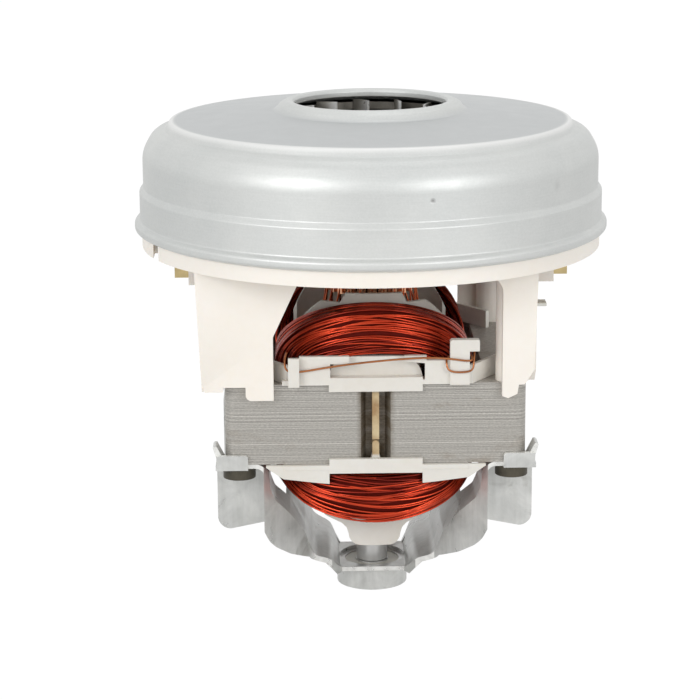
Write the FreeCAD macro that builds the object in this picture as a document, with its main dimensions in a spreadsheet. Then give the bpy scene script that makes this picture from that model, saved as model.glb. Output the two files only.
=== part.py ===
import FreeCAD, Part

import math
import operator
import os

import Sketcher
from FreeCAD import Placement, Rotation, Vector

# A flow-through vacuum cleaner motor that stands on its lower bearing cup.
# Lengths are millimetres, +Z is up, and the origin is the middle of the cup's underside.
# The front is -Y: the front field coil faces that way, and the carbon brushes lie along X.

SIZES = {
    # fan cover
    "cover_top": 142.6,
    "inlet_radius": 21.5,
    "inlet_edge_drop": 0.6,
    "lip_radius": 23.6,
    "lip_foot_radius": 26.8,
    "lip_rise": 2.8,
    "step_width": 3.0,
    "dish_drop": 3.3,
    "shoulder_round": 9.4,
    "step_drop": 2.1,
    "ridge_step": 1.1,
    "ridge_z": 119.2,
    "ridge_fall": 1.6,
    "band_radius": 65.5,
    "bead_height": 3.3,
    "cover_sheet": 0.9,
    # housing flange, deck and bearing boss
    "flange_low": 102.2,
    "flange_top": 106.5,
    "flange_inset": 0.5,
    "rim_width": 3.0,
    "deck_low": 104.0,
    "spigot_height": 2.6,
    "spigot_wall": 1.8,
    "boss_radius": 14.5,
    "air_inner": 17.0,
    "air_outer": 46.0,
    # housing legs and screw bosses
    "leg_step": 2.6,
    "leg_seat_depth": 4.4,
    "leg_side_top": 7.5,
    "leg_side_low": 6.0,
    "leg_inner": 27.8,
    "leg_slope_z": 84.0,
    "leg_slope_top": 18.0,
    "leg_wall": 2.6,
    "prong_left": 35.4,
    "prong_drop": 3.8,
    "narrow_inner": 34.4,
    "narrow_side": 2.7,
    "narrow_prong": 39.2,
    "arch_z": 100.3,
    "screw_boss_radius": 4.6,
    "screw_boss_depth": 15.0,
    # brushes, brass holders and their sleeves
    "brush_z": 97.0,
    "brush_width": 6.4,
    "brush_tall": 8.0,
    "brush_length": 24.0,
    "brush_travel": 4.0,
    "holder_wall": 0.5,
    "holder_inner_end": 15.0,
    "holder_outer_end": 56.0,
    "sleeve_inner_end": 17.0,
    "sleeve_outer_end": 52.0,
    "sleeve_wall": 1.7,
    "spring_radius": 2.6,
    "spring_wire": 0.35,
    "spring_turns": 8,
    # stator stack
    "stack_low": 47.5,
    "stack_tall": 22.6,
    "stack_half_width": 41.3,
    "stack_half_depth": 40.0,
    "stack_corner": 3.0,
    "stator_bore": 22.6,
    "shoe_radius": 27.0,
    "neck_half": 12.8,
    "side_yoke": 10.7,
    "yoke": 5.1,
    "window_corner": 4.0,
    "notch_half": 4.0,
    "notch_depth": 4.6,
    "screw_inset": 3.7,
    "screw_hole": 2.2,
    # clamping screws
    "screw_radius": 2.0,
    "screw_head_radius": 4.5,
    "screw_head": 3.0,
    "screw_length": 38.0,
    # field coils
    "wire_radius": 0.8,
    "coil_turns": 8,
    "coil_width": 10.8,
    "coil_overhang": 1.75,
    "core_gap": 0.45,
    "coil_inner_radius": 28.25,
    "coil_inner_half": 14.5,
    "coil_bulge": 2.4,
    "coil_top_inner": 78.9,
    "coil_low_inner": 43.4,
    # insulators
    "saddle_top": 77.4,
    "saddle_low": 45.7,
    "saddle_inset": 1.5,
    "guard_radius": 25.2,
    "guard_wall": 1.2,
    "guard_half_angle": 58.0,
    "guard_top": 92.2,
    "guard_shoulder": 89.4,
    "guard_low": 19.2,
    "guard_low_shoulder": 25.4,
    "plate_step": 1.5,
    "plate_wall": 1.4,
    "plate_top": 76.9,
    "band_half": 12.8,
    "band_top": 72.2,
    "band_lip": 1.8,
    "post_left": 20.8,
    "post_wide": 3.0,
    "post_top": 78.2,
    "peg_left": 20.2,
    "peg_wide": 5.3,
    "peg_top": 82.7,
    "hook_wide": 2.7,
    "hook_tall": 3.2,
    "tongue_half": 0.95,
    "tongue_end": 54.2,
    # field lead wire
    "lead_radius": 0.3,
    # bearing bracket
    "bracket_sheet": 1.3,
    "hub_top": 7.6,
    "hub_half_width": 9.5,
    "hub_half_depth": 11.5,
    "cup_radius": 10.25,
    "cup_floor": 0.6,
    "foot_side": 2.7,
    "foot_step": 1.4,
    "foot_inset": 10.7,
    "clip_inner": 35.1,
    "clip_rise": 2.9,
    "ear_rise": 5.4,
    # bearings
    "lower_bearing_radius": 9.5,
    "lower_bearing_bore": 3.0,
    "bearing_width": 6.0,
    "upper_bearing_radius": 11.0,
    "upper_bearing_bore": 4.0,
    "upper_bearing_low": 108.0,
    "upper_bearing_width": 7.0,
    # shaft and armature
    "shaft_low": 1.4,
    "shaft_top": 132.0,
    "shaft_radius": 4.5,
    "armature_radius": 22.1,
    "slot_count": 12,
    "slot_radius": 3.2,
    "slot_centre": 16.6,
    "slot_mouth": 1.0,
    "end_plate": 1.0,
    "winding_radius": 19.6,
    "winding_top": 84.5,
    "winding_low": 35.0,
    # commutator
    "bar_count": 24,
    "bar_low": 88.5,
    "bar_top": 103.0,
    "commutator_radius": 11.6,
    "commutator_hub": 9.4,
    "hook_radius": 12.9,
    "hook_height": 2.4,
    "mica_width": 0.5,
    # impeller and its fastening
    "impeller_inset": 13.5,
    "back_plate_low": 121.5,
    "back_plate": 1.0,
    "blade_count": 12,
    "blade_inner": 18.2,
    "blade_top": 139.6,
    "blade_sheet": 0.8,
    "shroud_sheet": 0.8,
    "shroud_eye": 24.2,
    "shroud_eye_z": 138.6,
    "shroud_rim_z": 131.0,
    "hub_flange_radius": 12.0,
    "hub_flange": 1.3,
    "spacer_radius": 6.5,
    "washer_radius": 9.0,
    "washer": 1.2,
    "nut_flats": 13.0,
    "nut_tall": 6.5,
    # diffuser
    "diffuser_low": 117.2,
    "diffuser_plate": 2.0,
    "diffuser_inset": 5.5,
    "vane_inset": 2.6,
    "vane_gap": 1.8,
    "vane_top": 127.0,
    "vane_wall": 1.2,
    "vane_count": 14,
    "return_count": 12,
    "return_inner": 20.5,
    "collar_wall": 2.0,
    # terminal tabs
    "terminal_z": 89.4,
    "terminal_thick": 0.8,
    "terminal_wide": 5.0,
    "terminal_out": 6.0,
    # clearances
    "fit_gap": 0.02,
    "slide_gap": 0.05,
    "part_gap": 0.1,
    "safe_gap": 0.3,
}

doc = FreeCAD.newDocument("fan_motor")
sheet = doc.addObject("Spreadsheet::Sheet", "sizes")
for row, (alias, number) in enumerate(SIZES.items(), 1):
    sheet.set(f"A{row}", alias)
    sheet.set(f"B{row}", str(number))
    sheet.setAlias(f"B{row}", alias)
doc.recompute()


class Size:
    """A number with the expression that ties it to the sheet."""

    def __init__(self, value, text):
        self.value = value
        self.text = text

    def __add__(self, other):
        return combine(self, "+", other)

    def __radd__(self, other):
        return combine(other, "+", self)

    def __sub__(self, other):
        return combine(self, "-", other)

    def __rsub__(self, other):
        return combine(other, "-", self)

    def __mul__(self, other):
        return combine(self, "*", other)

    def __rmul__(self, other):
        return combine(other, "*", self)

    def __truediv__(self, other):
        return combine(self, "/", other)

    def __neg__(self):
        return combine(0, "-", self)


OPERATIONS = {"+": operator.add, "-": operator.sub, "*": operator.mul, "/": operator.truediv}


def as_size(amount):
    return amount if isinstance(amount, Size) else Size(float(amount), str(amount))


def combine(first, sign, second):
    first, second = as_size(first), as_size(second)
    value = OPERATIONS[sign](first.value, second.value)
    return Size(value, f"({first.text} {sign} {second.text})")


class SheetSizes:
    """Every cell of the sheet, read by its alias."""

    def __getattr__(self, alias):
        return Size(float(sheet.get(alias)), f"sizes.{alias}")


S = SheetSizes()


def bind(target, name, amount):
    """Tie one property to the sheet."""
    amount = as_size(amount)
    if "." not in name:
        setattr(target, name, amount.value)
    target.setExpression(name, amount.text)


# Sketches

PLANES = {"XY": "XY_Plane", "XZ": "XZ_Plane", "YZ": "YZ_Plane"}
ROTATIONS = {
    "XY": Rotation(),
    "XZ": Rotation(Vector(1, 0, 0), 90),
    "YZ": Rotation(Vector(1, 1, 1), 120),
}
NORMALS = {"XY": ("z", 1), "XZ": ("y", -1), "YZ": ("x", 1)}
AXES = {1: (-2, "x"), 2: (-1, "y")}


def pin(sketch, edge, end, amounts):
    """Hold one corner at its two distances from the sketch's origin."""
    for kind, axis, amount in zip(("DistanceX", "DistanceY"), (-2, -1), amounts):
        if as_size(amount).text in ("0", "0.0"):
            sketch.addConstraint(Sketcher.Constraint("PointOnObject", edge, end, axis))
            continue
        amount = as_size(amount)
        index = sketch.addConstraint(Sketcher.Constraint(kind, -1, 1, edge, end, amount.value))
        sketch.setExpression(f"Constraints[{index}]", amount.text)


def arc_between(start, end, radius, turn):
    """The short arc between two corners, anticlockwise for turn 1 and clockwise for turn -1."""
    chord = end - start
    left = Vector(-chord.y, chord.x, 0).normalize()
    rise = math.sqrt(max(radius * radius - chord.Length * chord.Length / 4, 0))
    centre = (start + end) * 0.5 + left * rise * turn
    first, last = (start, end) if turn > 0 else (end, start)
    angles = [math.atan2(p.y - centre.y, p.x - centre.x) for p in (first, last)]
    if angles[1] < angles[0]:
        angles[1] += 2 * math.pi
    return Part.ArcOfCircle(Part.Circle(centre, Vector(0, 0, 1), radius), *angles)


def outline(sketch, corners):
    """A closed outline. A corner is (x, y), or (x, y, radius, turn) where an arc leads to it."""
    points = [Vector(as_size(c[0]).value, as_size(c[1]).value, 0) for c in corners]
    first = sketch.GeometryCount
    ends = []
    for index, corner in enumerate(corners):
        start, end = points[index - 1], points[index]
        if len(corner) == 2:
            sketch.addGeometry(Part.LineSegment(start, end))
            ends.append((1, 2))
        else:
            radius = as_size(corner[2])
            edge = sketch.addGeometry(arc_between(start, end, radius.value, corner[3]))
            ends.append((1, 2) if corner[3] > 0 else (2, 1))
            index_radius = sketch.addConstraint(Sketcher.Constraint("Radius", edge, radius.value))
            sketch.setExpression(f"Constraints[{index_radius}]", radius.text)
    count = len(corners)
    for index in range(count):
        following = (index + 1) % count
        sketch.addConstraint(Sketcher.Constraint(
            "Coincident", first + index, ends[index][1], first + following, ends[following][0]))
        pin(sketch, first + index, ends[index][1], corners[index][:2])


def ring(sketch, x, y, radius):
    """A full circle."""
    centre = Vector(as_size(x).value, as_size(y).value, 0)
    radius = as_size(radius)
    edge = sketch.addGeometry(Part.Circle(centre, Vector(0, 0, 1), radius.value))
    pin(sketch, edge, 3, (x, y))
    index = sketch.addConstraint(Sketcher.Constraint("Radius", edge, radius.value))
    sketch.setExpression(f"Constraints[{index}]", radius.text)


def fill(sketch, shapes):
    """Draw every outline and ring of one sketch."""
    for shape in shapes:
        if isinstance(shape, dict):
            ring(sketch, shape["x"], shape["y"], shape["radius"])
        else:
            outline(sketch, shape)


def circle(x, y, radius):
    return {"x": x, "y": y, "radius": radius}


def box_outline(low_x, high_x, low_y, high_y):
    return [(low_x, low_y), (high_x, low_y), (high_x, high_y), (low_x, high_y)]


# Bodies and their features

nodes = {}


def new_body(label, turn=0):
    """An empty body; turn swings the whole piece about the shaft."""
    body = doc.addObject("PartDesign::Body", label)
    body.Label = label
    body.Placement = Placement(Vector(), Rotation(Vector(0, 0, 1), turn))
    nodes[label] = body
    return body


def origin_of(body, role):
    return next(item for item in body.Origin.OriginFeatures if item.Role == role)


def body_sketch(body, name, plane, start, shapes):
    sketch = body.newObject("Sketcher::SketchObject", name)
    sketch.AttachmentSupport = [(origin_of(body, PLANES[plane]), "")]
    sketch.MapMode = "FlatFace"
    if start is not None:
        sketch.AttachmentOffset = Placement(Vector(0, 0, as_size(start).value), Rotation())
        bind(sketch, "AttachmentOffset.Base.z", start)
    fill(sketch, shapes)
    return sketch


def turned(label, corners, turn=0):
    """A body turned about the shaft from an outline of (radius, height) corners."""
    body = new_body(label, turn)
    turn_more(body, f"{label}_turning", corners)
    return body


def turn_more(body, name, corners, kind="Revolution"):
    sketch = body_sketch(body, f"{name}_outline", "XZ", None, [corners])
    feature = body.newObject(f"PartDesign::{kind}", name)
    feature.Profile = (sketch, [""])
    feature.ReferenceAxis = (sketch, ["V_Axis"])
    feature.Angle = 360
    body.Tip = feature
    return feature


def pad(body, name, plane, start, length, *shapes):
    """Add material from start along the plane's normal: +Z on XY, -Y on XZ, +X on YZ."""
    sketch = body_sketch(body, f"{name}_outline", plane, start, shapes)
    feature = body.newObject("PartDesign::Pad", name)
    feature.Profile = (sketch, [""])
    bind(feature, "Length", length)
    body.Tip = feature
    return feature


def pocket(body, name, plane, start, length, *shapes):
    """Remove material from start against the plane's normal."""
    sketch = body_sketch(body, f"{name}_outline", plane, start, shapes)
    feature = body.newObject("PartDesign::Pocket", name)
    feature.Profile = (sketch, [""])
    bind(feature, "Length", length)
    body.Tip = feature
    return feature


def around(body, name, features, count):
    """Repeat features about the shaft."""
    pattern = body.newObject("PartDesign::PolarPattern", name)
    pattern.Originals = features
    pattern.Axis = (origin_of(body, "Z_Axis"), [""])
    pattern.Angle = 360
    pattern.Occurrences = int(round(as_size(count).value))
    if isinstance(count, Size):
        pattern.setExpression("Occurrences", count.text)
    body.Tip = pattern
    return pattern


def solid_node(label, shape):
    """A sub-part whose form comes from curves that sketches can't hold."""
    made = doc.addObject("Part::Feature", label)
    made.Label = label
    made.Shape = shape
    nodes[label] = made
    return made


def extruded(name, plane, start, length, *shapes):
    """A loose extrusion for the booleans, from start along the plane's normal."""
    sketch = doc.addObject("Sketcher::SketchObject", f"{name}_outline")
    letter, sign = NORMALS[plane]
    offset = as_size(start) * sign
    base = {"x": 0, "y": 0, "z": 0, letter: offset.value}
    sketch.Placement = Placement(Vector(base["x"], base["y"], base["z"]), ROTATIONS[plane])
    bind(sketch, f"Placement.Base.{letter}", offset)
    fill(sketch, shapes)
    made = doc.addObject("Part::Extrusion", name)
    made.Base = sketch
    made.DirMode = "Normal"
    made.Solid = True
    bind(made, "LengthFwd", length)
    return made


def joined(name, *pieces):
    made = doc.addObject("Part::MultiFuse", name)
    made.Shapes = list(pieces)
    return made


def common(name, first, second):
    made = doc.addObject("Part::MultiCommon", name)
    made.Shapes = [first, second]
    return made


def cut(name, base, tool):
    made = doc.addObject("Part::Cut", name)
    made.Base = base
    made.Tool = tool
    return made


def reflected(name, source, normal):
    made = doc.addObject("Part::Mirroring", name)
    made.Source = source
    made.Normal = normal
    return made


def polar(radius, degrees):
    """The two sizes of a point given by its radius and angle."""
    angle = math.radians(degrees)
    return radius * round(math.cos(angle), 6), radius * round(math.sin(angle), 6)


# Heights that several pieces share

STACK_TOP = S.stack_low + S.stack_tall
LIP_FOOT_Z = S.cover_top - S.lip_rise
DISH_Z = LIP_FOOT_Z - S.dish_drop
STEP_Z = DISH_Z - S.step_drop
BEARING_TOP = S.upper_bearing_low + S.upper_bearing_width
FAN_PLATE_TOP = S.back_plate_low + S.back_plate

# Radii that follow the cover's band, and half widths that follow the stack

WALL_RADIUS = S.band_radius - S.ridge_step
STEP_RADIUS = WALL_RADIUS - S.shoulder_round
DISH_RADIUS = STEP_RADIUS - S.step_width
FLANGE_RADIUS = S.band_radius - S.flange_inset
IMPELLER_RADIUS = S.band_radius - S.impeller_inset
DIFFUSER_RADIUS = S.band_radius - S.diffuser_inset
VANE_INNER = IMPELLER_RADIUS + S.vane_gap
VANE_OUTER = S.band_radius - S.vane_inset
LEG_FRONT = S.stack_half_depth + S.leg_step
PLATE_FRONT = S.stack_half_depth + S.plate_step
SADDLE_FRONT = S.stack_half_depth - S.saddle_inset
FOOT_FRONT = S.stack_half_depth + S.foot_step
FOOT_BACK = S.stack_half_depth - S.foot_inset
FOOT_OUTER = S.stack_half_width + S.foot_side
SCREW_X = S.stack_half_width - S.screw_inset
SCREW_Y = S.stack_half_depth - S.screw_inset
WINDOW_HALF_WIDTH = S.stack_half_width - S.side_yoke
WINDOW_HALF_DEPTH = S.stack_half_depth - S.yoke
LEG_OUTER_TOP = S.stack_half_width + S.leg_side_top
LEG_OUTER_LOW = S.stack_half_width + S.leg_side_low
NARROW_OUTER = S.stack_half_width + S.narrow_side
TERMINAL_REACH = S.stack_half_width + S.terminal_out


def fan_cover():
    """Pressed steel cover: lip, dish, step, rounded shoulder, ridge and rolled bead."""
    gauge = S.cover_sheet
    edge_z = S.cover_top - S.inlet_edge_drop
    shoulder = WALL_RADIUS - STEP_RADIUS
    shoulder_z = STEP_Z - shoulder
    band_top = S.ridge_z - S.ridge_fall
    bead_top = S.flange_top + S.bead_height
    turned("fan_cover", [
        (S.inlet_radius, edge_z),
        (S.lip_radius, S.cover_top, (S.lip_radius - S.inlet_radius) * 1.4, -1),
        (S.lip_foot_radius, LIP_FOOT_Z, S.lip_rise * 1.6, -1),
        (DISH_RADIUS, DISH_Z),
        (STEP_RADIUS, STEP_Z),
        (WALL_RADIUS, shoulder_z, shoulder, -1),
        (WALL_RADIUS, S.ridge_z),
        (S.band_radius, band_top),
        (S.band_radius, bead_top),
        (S.band_radius, S.flange_top, S.bead_height * 0.5025, -1),
        (S.band_radius - gauge, S.flange_top),
        (S.band_radius - gauge, band_top),
        (WALL_RADIUS - gauge, S.ridge_z),
        (WALL_RADIUS - gauge, shoulder_z),
        (STEP_RADIUS, STEP_Z - gauge, shoulder - gauge, 1),
        (DISH_RADIUS - gauge / 3, DISH_Z - gauge),
        (S.lip_foot_radius - gauge / 2, LIP_FOOT_Z - gauge),
        (S.lip_radius, S.cover_top - gauge),
        (S.inlet_radius, edge_z - gauge),
    ])


def housing_shell(body):
    """Flange rim, deck, spigot inside the cover, and the boss of the upper bearing."""
    spigot = S.band_radius - S.cover_sheet - S.safe_gap
    seat = S.upper_bearing_radius + S.fit_gap
    turn_more(body, "flange_and_boss", [
        (S.upper_bearing_radius - 2.5, S.deck_low),
        (FLANGE_RADIUS - S.rim_width, S.deck_low),
        (FLANGE_RADIUS - S.rim_width, S.flange_low),
        (FLANGE_RADIUS, S.flange_low),
        (FLANGE_RADIUS, S.flange_top),
        (spigot, S.flange_top),
        (spigot, S.flange_top + S.spigot_height),
        (spigot - S.spigot_wall, S.flange_top + S.spigot_height),
        (spigot - S.spigot_wall, S.flange_top),
        (S.boss_radius, S.flange_top),
        (S.boss_radius, BEARING_TOP + S.safe_gap),
        (seat, BEARING_TOP + S.safe_gap),
        (seat, S.upper_bearing_low),
        (S.upper_bearing_radius - 2.5, S.upper_bearing_low),
    ])
    first, last = 14, 76
    air = pocket(body, "air_opening", "XY", S.flange_top, S.flange_top - S.deck_low, [
        polar(S.air_inner, first),
        polar(S.air_outer, first),
        (*polar(S.air_outer, last), S.air_outer, 1),
        polar(S.air_inner, last),
    ])
    around(body, "air_openings", [air], 4)
    left = S.flange_inset + 4.4
    notch = pocket(body, "rim_notch", "XY", S.flange_top, S.flange_top - S.flange_low, box_outline(
        left - S.band_radius, left + 1.6 - S.band_radius, -32, -16.5))
    around(body, "rim_notches", [notch], 2)


def screw_boss(body, name, side):
    """A boss that takes a clamping screw, standing on the stack's corner."""
    place = (SCREW_X * side, -SCREW_Y)
    grown = pad(body, f"{name}_boss", "XY", STACK_TOP, S.deck_low - STACK_TOP + 1,
                circle(*place, S.screw_boss_radius))
    drilled = pocket(body, f"{name}_pilot", "XY", STACK_TOP + S.screw_boss_depth,
                     S.screw_boss_depth, circle(*place, S.screw_radius + S.part_gap))
    return [grown, drilled]


def wide_leg(body):
    """The wide leg: sloped inner edge, a prong over the stack's face and a foot past its side."""
    top = S.deck_low + 1
    back = LEG_FRONT - S.leg_seat_depth
    prong_back = S.stack_half_depth + S.part_gap
    foot_in = S.stack_half_width + 2 * S.part_gap
    wall = pad(body, "wide_leg_wall", "XZ", back, S.leg_seat_depth, [
        (-LEG_OUTER_TOP, top),
        (-LEG_OUTER_LOW, STACK_TOP),
        (-S.leg_inner, STACK_TOP),
        (-S.leg_inner, S.leg_slope_z),
        (-S.leg_slope_top, top),
    ])
    prong_low = STACK_TOP - S.prong_drop
    prong = pad(body, "wide_leg_prong", "XZ", prong_back, LEG_FRONT - prong_back, [
        (-S.prong_left, STACK_TOP + 2),
        (-S.prong_left, prong_low + 1.6),
        (1.6 - S.prong_left, prong_low, 1.6, 1),
        (-S.leg_inner, prong_low),
        (-S.leg_inner, STACK_TOP + 2),
    ])
    foot = pad(body, "wide_leg_foot", "XZ", SCREW_Y - S.screw_boss_radius,
               LEG_FRONT + S.screw_boss_radius - SCREW_Y, [
        (-LEG_OUTER_LOW, STACK_TOP + 4),
        (0.7 - LEG_OUTER_LOW, STACK_TOP - 1.3),
        (-foot_in, STACK_TOP - 1.3),
        (-foot_in, STACK_TOP + 4),
    ])
    side = pad(body, "wide_leg_side", "YZ", -LEG_OUTER_LOW, S.leg_wall, [
        (1 - LEG_FRONT, top),
        (1 - LEG_FRONT, STACK_TOP - 1.3),
        (11.6 - LEG_FRONT, STACK_TOP - 1.3),
        (15 - LEG_FRONT, STACK_TOP + 7),
        (18 - LEG_FRONT, top),
    ])
    return [wall, prong, foot, side] + screw_boss(body, "wide_leg", -1)


def narrow_leg(body):
    """The narrow leg with the arched lintel beside it."""
    top = S.deck_low + 1
    back = LEG_FRONT - S.leg_seat_depth
    prong_back = S.stack_half_depth + S.part_gap
    wall = pad(body, "narrow_leg_wall", "XZ", back, S.leg_seat_depth, [
        (NARROW_OUTER, top),
        (NARROW_OUTER - 0.9, STACK_TOP + 4.1),
        (NARROW_OUTER - 3.6, STACK_TOP),
        (S.narrow_inner, STACK_TOP),
        (S.narrow_inner, S.arch_z - 5),
        (S.narrow_inner - 4, S.arch_z, 4.8, 1),
        (S.leg_slope_top + 2, S.arch_z),
        (S.leg_slope_top, top),
    ])
    prong_low = STACK_TOP - S.prong_drop
    prong = pad(body, "narrow_leg_prong", "XZ", prong_back, LEG_FRONT - prong_back, [
        (S.narrow_inner, STACK_TOP + 2),
        (S.narrow_inner, prong_low + 0.6),
        (S.narrow_inner + 1.6, prong_low),
        (S.narrow_prong - 0.7, prong_low + 1.2),
        (S.narrow_prong, STACK_TOP + 2),
    ])
    side = pad(body, "narrow_leg_side", "YZ", S.stack_half_width + S.safe_gap, S.leg_wall - 0.6, [
        (1 - LEG_FRONT, top),
        (1 - LEG_FRONT, STACK_TOP + 4),
        (4.6 - LEG_FRONT, STACK_TOP + S.part_gap),
        (12.6 - LEG_FRONT, STACK_TOP + S.part_gap),
        (15.6 - LEG_FRONT, STACK_TOP + 9),
        (20 - LEG_FRONT, top),
    ])
    return [wall, prong, side] + screw_boss(body, "narrow_leg", 1)


def brush_sleeve(body):
    """The plastic sleeve under the deck that grips one brass holder."""
    inner_y = S.brush_width / 2 + S.slide_gap + S.holder_wall + S.part_gap
    inner_z = S.brush_tall / 2 + S.slide_gap + S.holder_wall + S.part_gap
    outer_y = inner_y + S.sleeve_wall
    length = S.sleeve_outer_end - S.sleeve_inner_end
    block = pad(body, "sleeve_block", "YZ", S.sleeve_inner_end, length,
                box_outline(-outer_y, outer_y, S.brush_z - inner_z - S.sleeve_wall, S.deck_low + 0.5))
    channel = pocket(body, "sleeve_channel", "YZ", S.sleeve_outer_end, length,
                     box_outline(-inner_y, inner_y, S.brush_z - inner_z, S.brush_z + inner_z))
    return [block, channel]


def terminal_slot(body):
    """The slot in the narrow leg's side that holds a terminal tab."""
    gap = S.slide_gap
    return [pocket(body, "terminal_slot", "YZ", S.stack_half_width + S.safe_gap + S.leg_wall,
                   S.leg_wall, box_outline(
        -SCREW_Y + S.screw_boss_radius - gap, -SCREW_Y + S.screw_boss_radius + S.terminal_wide + gap,
        S.terminal_z - gap, S.terminal_z + S.terminal_thick + gap))]


def motor_housing():
    """Moulded housing: everything under the cover and above the stack."""
    body = new_body("motor_housing")
    housing_shell(body)
    features = wide_leg(body) + narrow_leg(body) + brush_sleeve(body) + terminal_slot(body)
    around(body, "both_sides", features, 2)


def terminal_tabs():
    """Two flat tabs that stick out of the narrow legs."""
    low = Vector(S.stack_half_width.value + S.safe_gap.value,
                 S.screw_boss_radius.value - SCREW_Y.value, S.terminal_z.value)
    reach = TERMINAL_REACH.value - low.x
    tab = Part.makeBox(reach, S.terminal_wide.value, S.terminal_thick.value, low)
    other = tab.copy()
    other.rotate(Vector(), Vector(0, 0, 1), 180)
    solid_node("terminal_tabs", Part.makeCompound([tab, other]))


def diffuser():
    """Guide vanes round the impeller, and return vanes under the plate."""
    body = new_body("diffuser")
    plate_top = S.diffuser_low + S.diffuser_plate
    hole = S.boss_radius + S.safe_gap
    turn_more(body, "diffuser_plate", [
        (hole, S.flange_top + 2),
        (hole + S.collar_wall, S.flange_top + 2),
        (hole + S.collar_wall, S.diffuser_low),
        (DIFFUSER_RADIUS - 2, S.diffuser_low),
        (DIFFUSER_RADIUS, S.diffuser_low + 1, 3, 1),
        (DIFFUSER_RADIUS, plate_top),
        (hole, plate_top),
    ])
    guide = pad(body, "guide_vane", "XY", S.diffuser_low, S.vane_top - S.diffuser_low, [
        polar(VANE_INNER, 0),
        (*polar(VANE_OUTER, 16), VANE_OUTER * 0.5, 1),
        polar(VANE_OUTER, 17.4),
        (*polar(VANE_INNER, 1.4), VANE_OUTER * 0.5, -1),
    ])
    around(body, "guide_vanes", [guide], S.vane_count)
    returning = pad(body, "return_vane", "XY", S.flange_top, S.diffuser_low - S.flange_top + 1, [
        polar(S.return_inner, 0),
        (*polar(DIFFUSER_RADIUS - 1, 46), DIFFUSER_RADIUS * 0.7, 1),
        polar(DIFFUSER_RADIUS - 1, 47.3),
        (*polar(S.return_inner, 4), DIFFUSER_RADIUS * 0.7, -1),
    ])
    around(body, "return_vanes", [returning], S.return_count)


def bearing(name, low, width, radius, bore, balls):
    """A deep-groove ball bearing: two rings, a set of balls and two seals."""
    span = radius - bore
    outer_wall, inner_wall = span * 0.24, span * 0.26
    middle = (radius - outer_wall + bore + inner_wall) / 2
    ball = span * 0.29
    groove = ball + S.slide_gap
    high = low + width
    outer = turned(f"{name}_outer_ring", [
        (radius, low), (radius, high), (radius - outer_wall, high), (radius - outer_wall, low)])
    inner = turned(f"{name}_inner_ring", [
        (bore, low), (bore + inner_wall, low), (bore + inner_wall, high), (bore, high)])
    for body in (outer, inner):
        sketch = body_sketch(body, "race_outline", "XZ", None, [circle(middle, low + width / 2, groove)])
        race = body.newObject("PartDesign::Groove", "race")
        race.Profile = (sketch, [""])
        race.ReferenceAxis = (sketch, ["V_Axis"])
        race.Angle = 360
        body.Tip = race
    height = (low + width / 2).value
    spheres = []
    for index in range(balls):
        angle = 2 * math.pi * index / balls
        place = Vector(middle.value * math.cos(angle), middle.value * math.sin(angle), height)
        spheres.append(Part.makeSphere(ball.value, place))
    solid_node(f"{name}_balls", Part.makeCompound(spheres))
    seal = 0.5
    bounds = (radius - outer_wall - S.slide_gap).value, (bore + inner_wall + S.slide_gap * 2).value
    seals = []
    for base in (low.value + 0.3, high.value - 0.3 - seal):
        disc = Part.makeCylinder(bounds[0], seal, Vector(0, 0, base))
        seals.append(disc.cut(Part.makeCylinder(bounds[1], seal, Vector(0, 0, base))))
    solid_node(f"{name}_seals", Part.makeCompound(seals))


def stator_core():
    """Laminated stack: two poles with shoes, four winding windows, front and rear notches."""
    body = new_body("stator_core")
    wide, deep, corner = S.stack_half_width, S.stack_half_depth, S.stack_corner
    pad(body, "stack", "XY", S.stack_low, S.stack_tall, [
        (wide - corner, -deep),
        (wide, corner - deep, corner, 1),
        (wide, deep - corner),
        (wide - corner, deep, corner, 1),
        (corner - wide, deep),
        (-wide, deep - corner, corner, 1),
        (-wide, corner - deep),
        (corner - wide, -deep, corner, 1),
    ])
    pocket(body, "bore", "XY", STACK_TOP, S.stack_tall, circle(0, 0, S.stator_bore))
    inner_corner = S.window_corner
    window = pocket(body, "window", "XY", STACK_TOP, S.stack_tall, [
        (S.neck_half, -WINDOW_HALF_DEPTH),
        (WINDOW_HALF_WIDTH - inner_corner, -WINDOW_HALF_DEPTH),
        (WINDOW_HALF_WIDTH, inner_corner - WINDOW_HALF_DEPTH, inner_corner, 1),
        (WINDOW_HALF_WIDTH, WINDOW_HALF_DEPTH - inner_corner),
        (WINDOW_HALF_WIDTH - inner_corner, WINDOW_HALF_DEPTH, inner_corner, 1),
        (S.neck_half, WINDOW_HALF_DEPTH),
        polar(S.shoe_radius, 61.7),
        (*polar(S.shoe_radius, 28), S.shoe_radius, -1),
        polar(S.stator_bore - 1, 28),
        polar(S.stator_bore - 1, -28),
        polar(S.shoe_radius, -28),
        (*polar(S.shoe_radius, -61.7), S.shoe_radius, -1),
    ])
    notch_back = S.stack_half_depth - S.notch_depth
    notch = pocket(body, "notch", "XY", STACK_TOP, S.stack_tall, [
        (-S.notch_half, -S.stack_half_depth - 1),
        (S.notch_half, -S.stack_half_depth - 1),
        (S.notch_half, -S.stack_half_depth + 1.2),
        (S.notch_half - 1.2, -notch_back),
        (1.2 - S.notch_half, -notch_back),
        (-S.notch_half, -S.stack_half_depth + 1.2),
    ])
    around(body, "windows_and_notches", [window, notch], 2)
    holes = [circle(SCREW_X * a, SCREW_Y * b, S.screw_hole) for a in (-1, 1) for b in (-1, 1)]
    pocket(body, "screw_holes", "XY", STACK_TOP, S.stack_tall, *holes)


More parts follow.
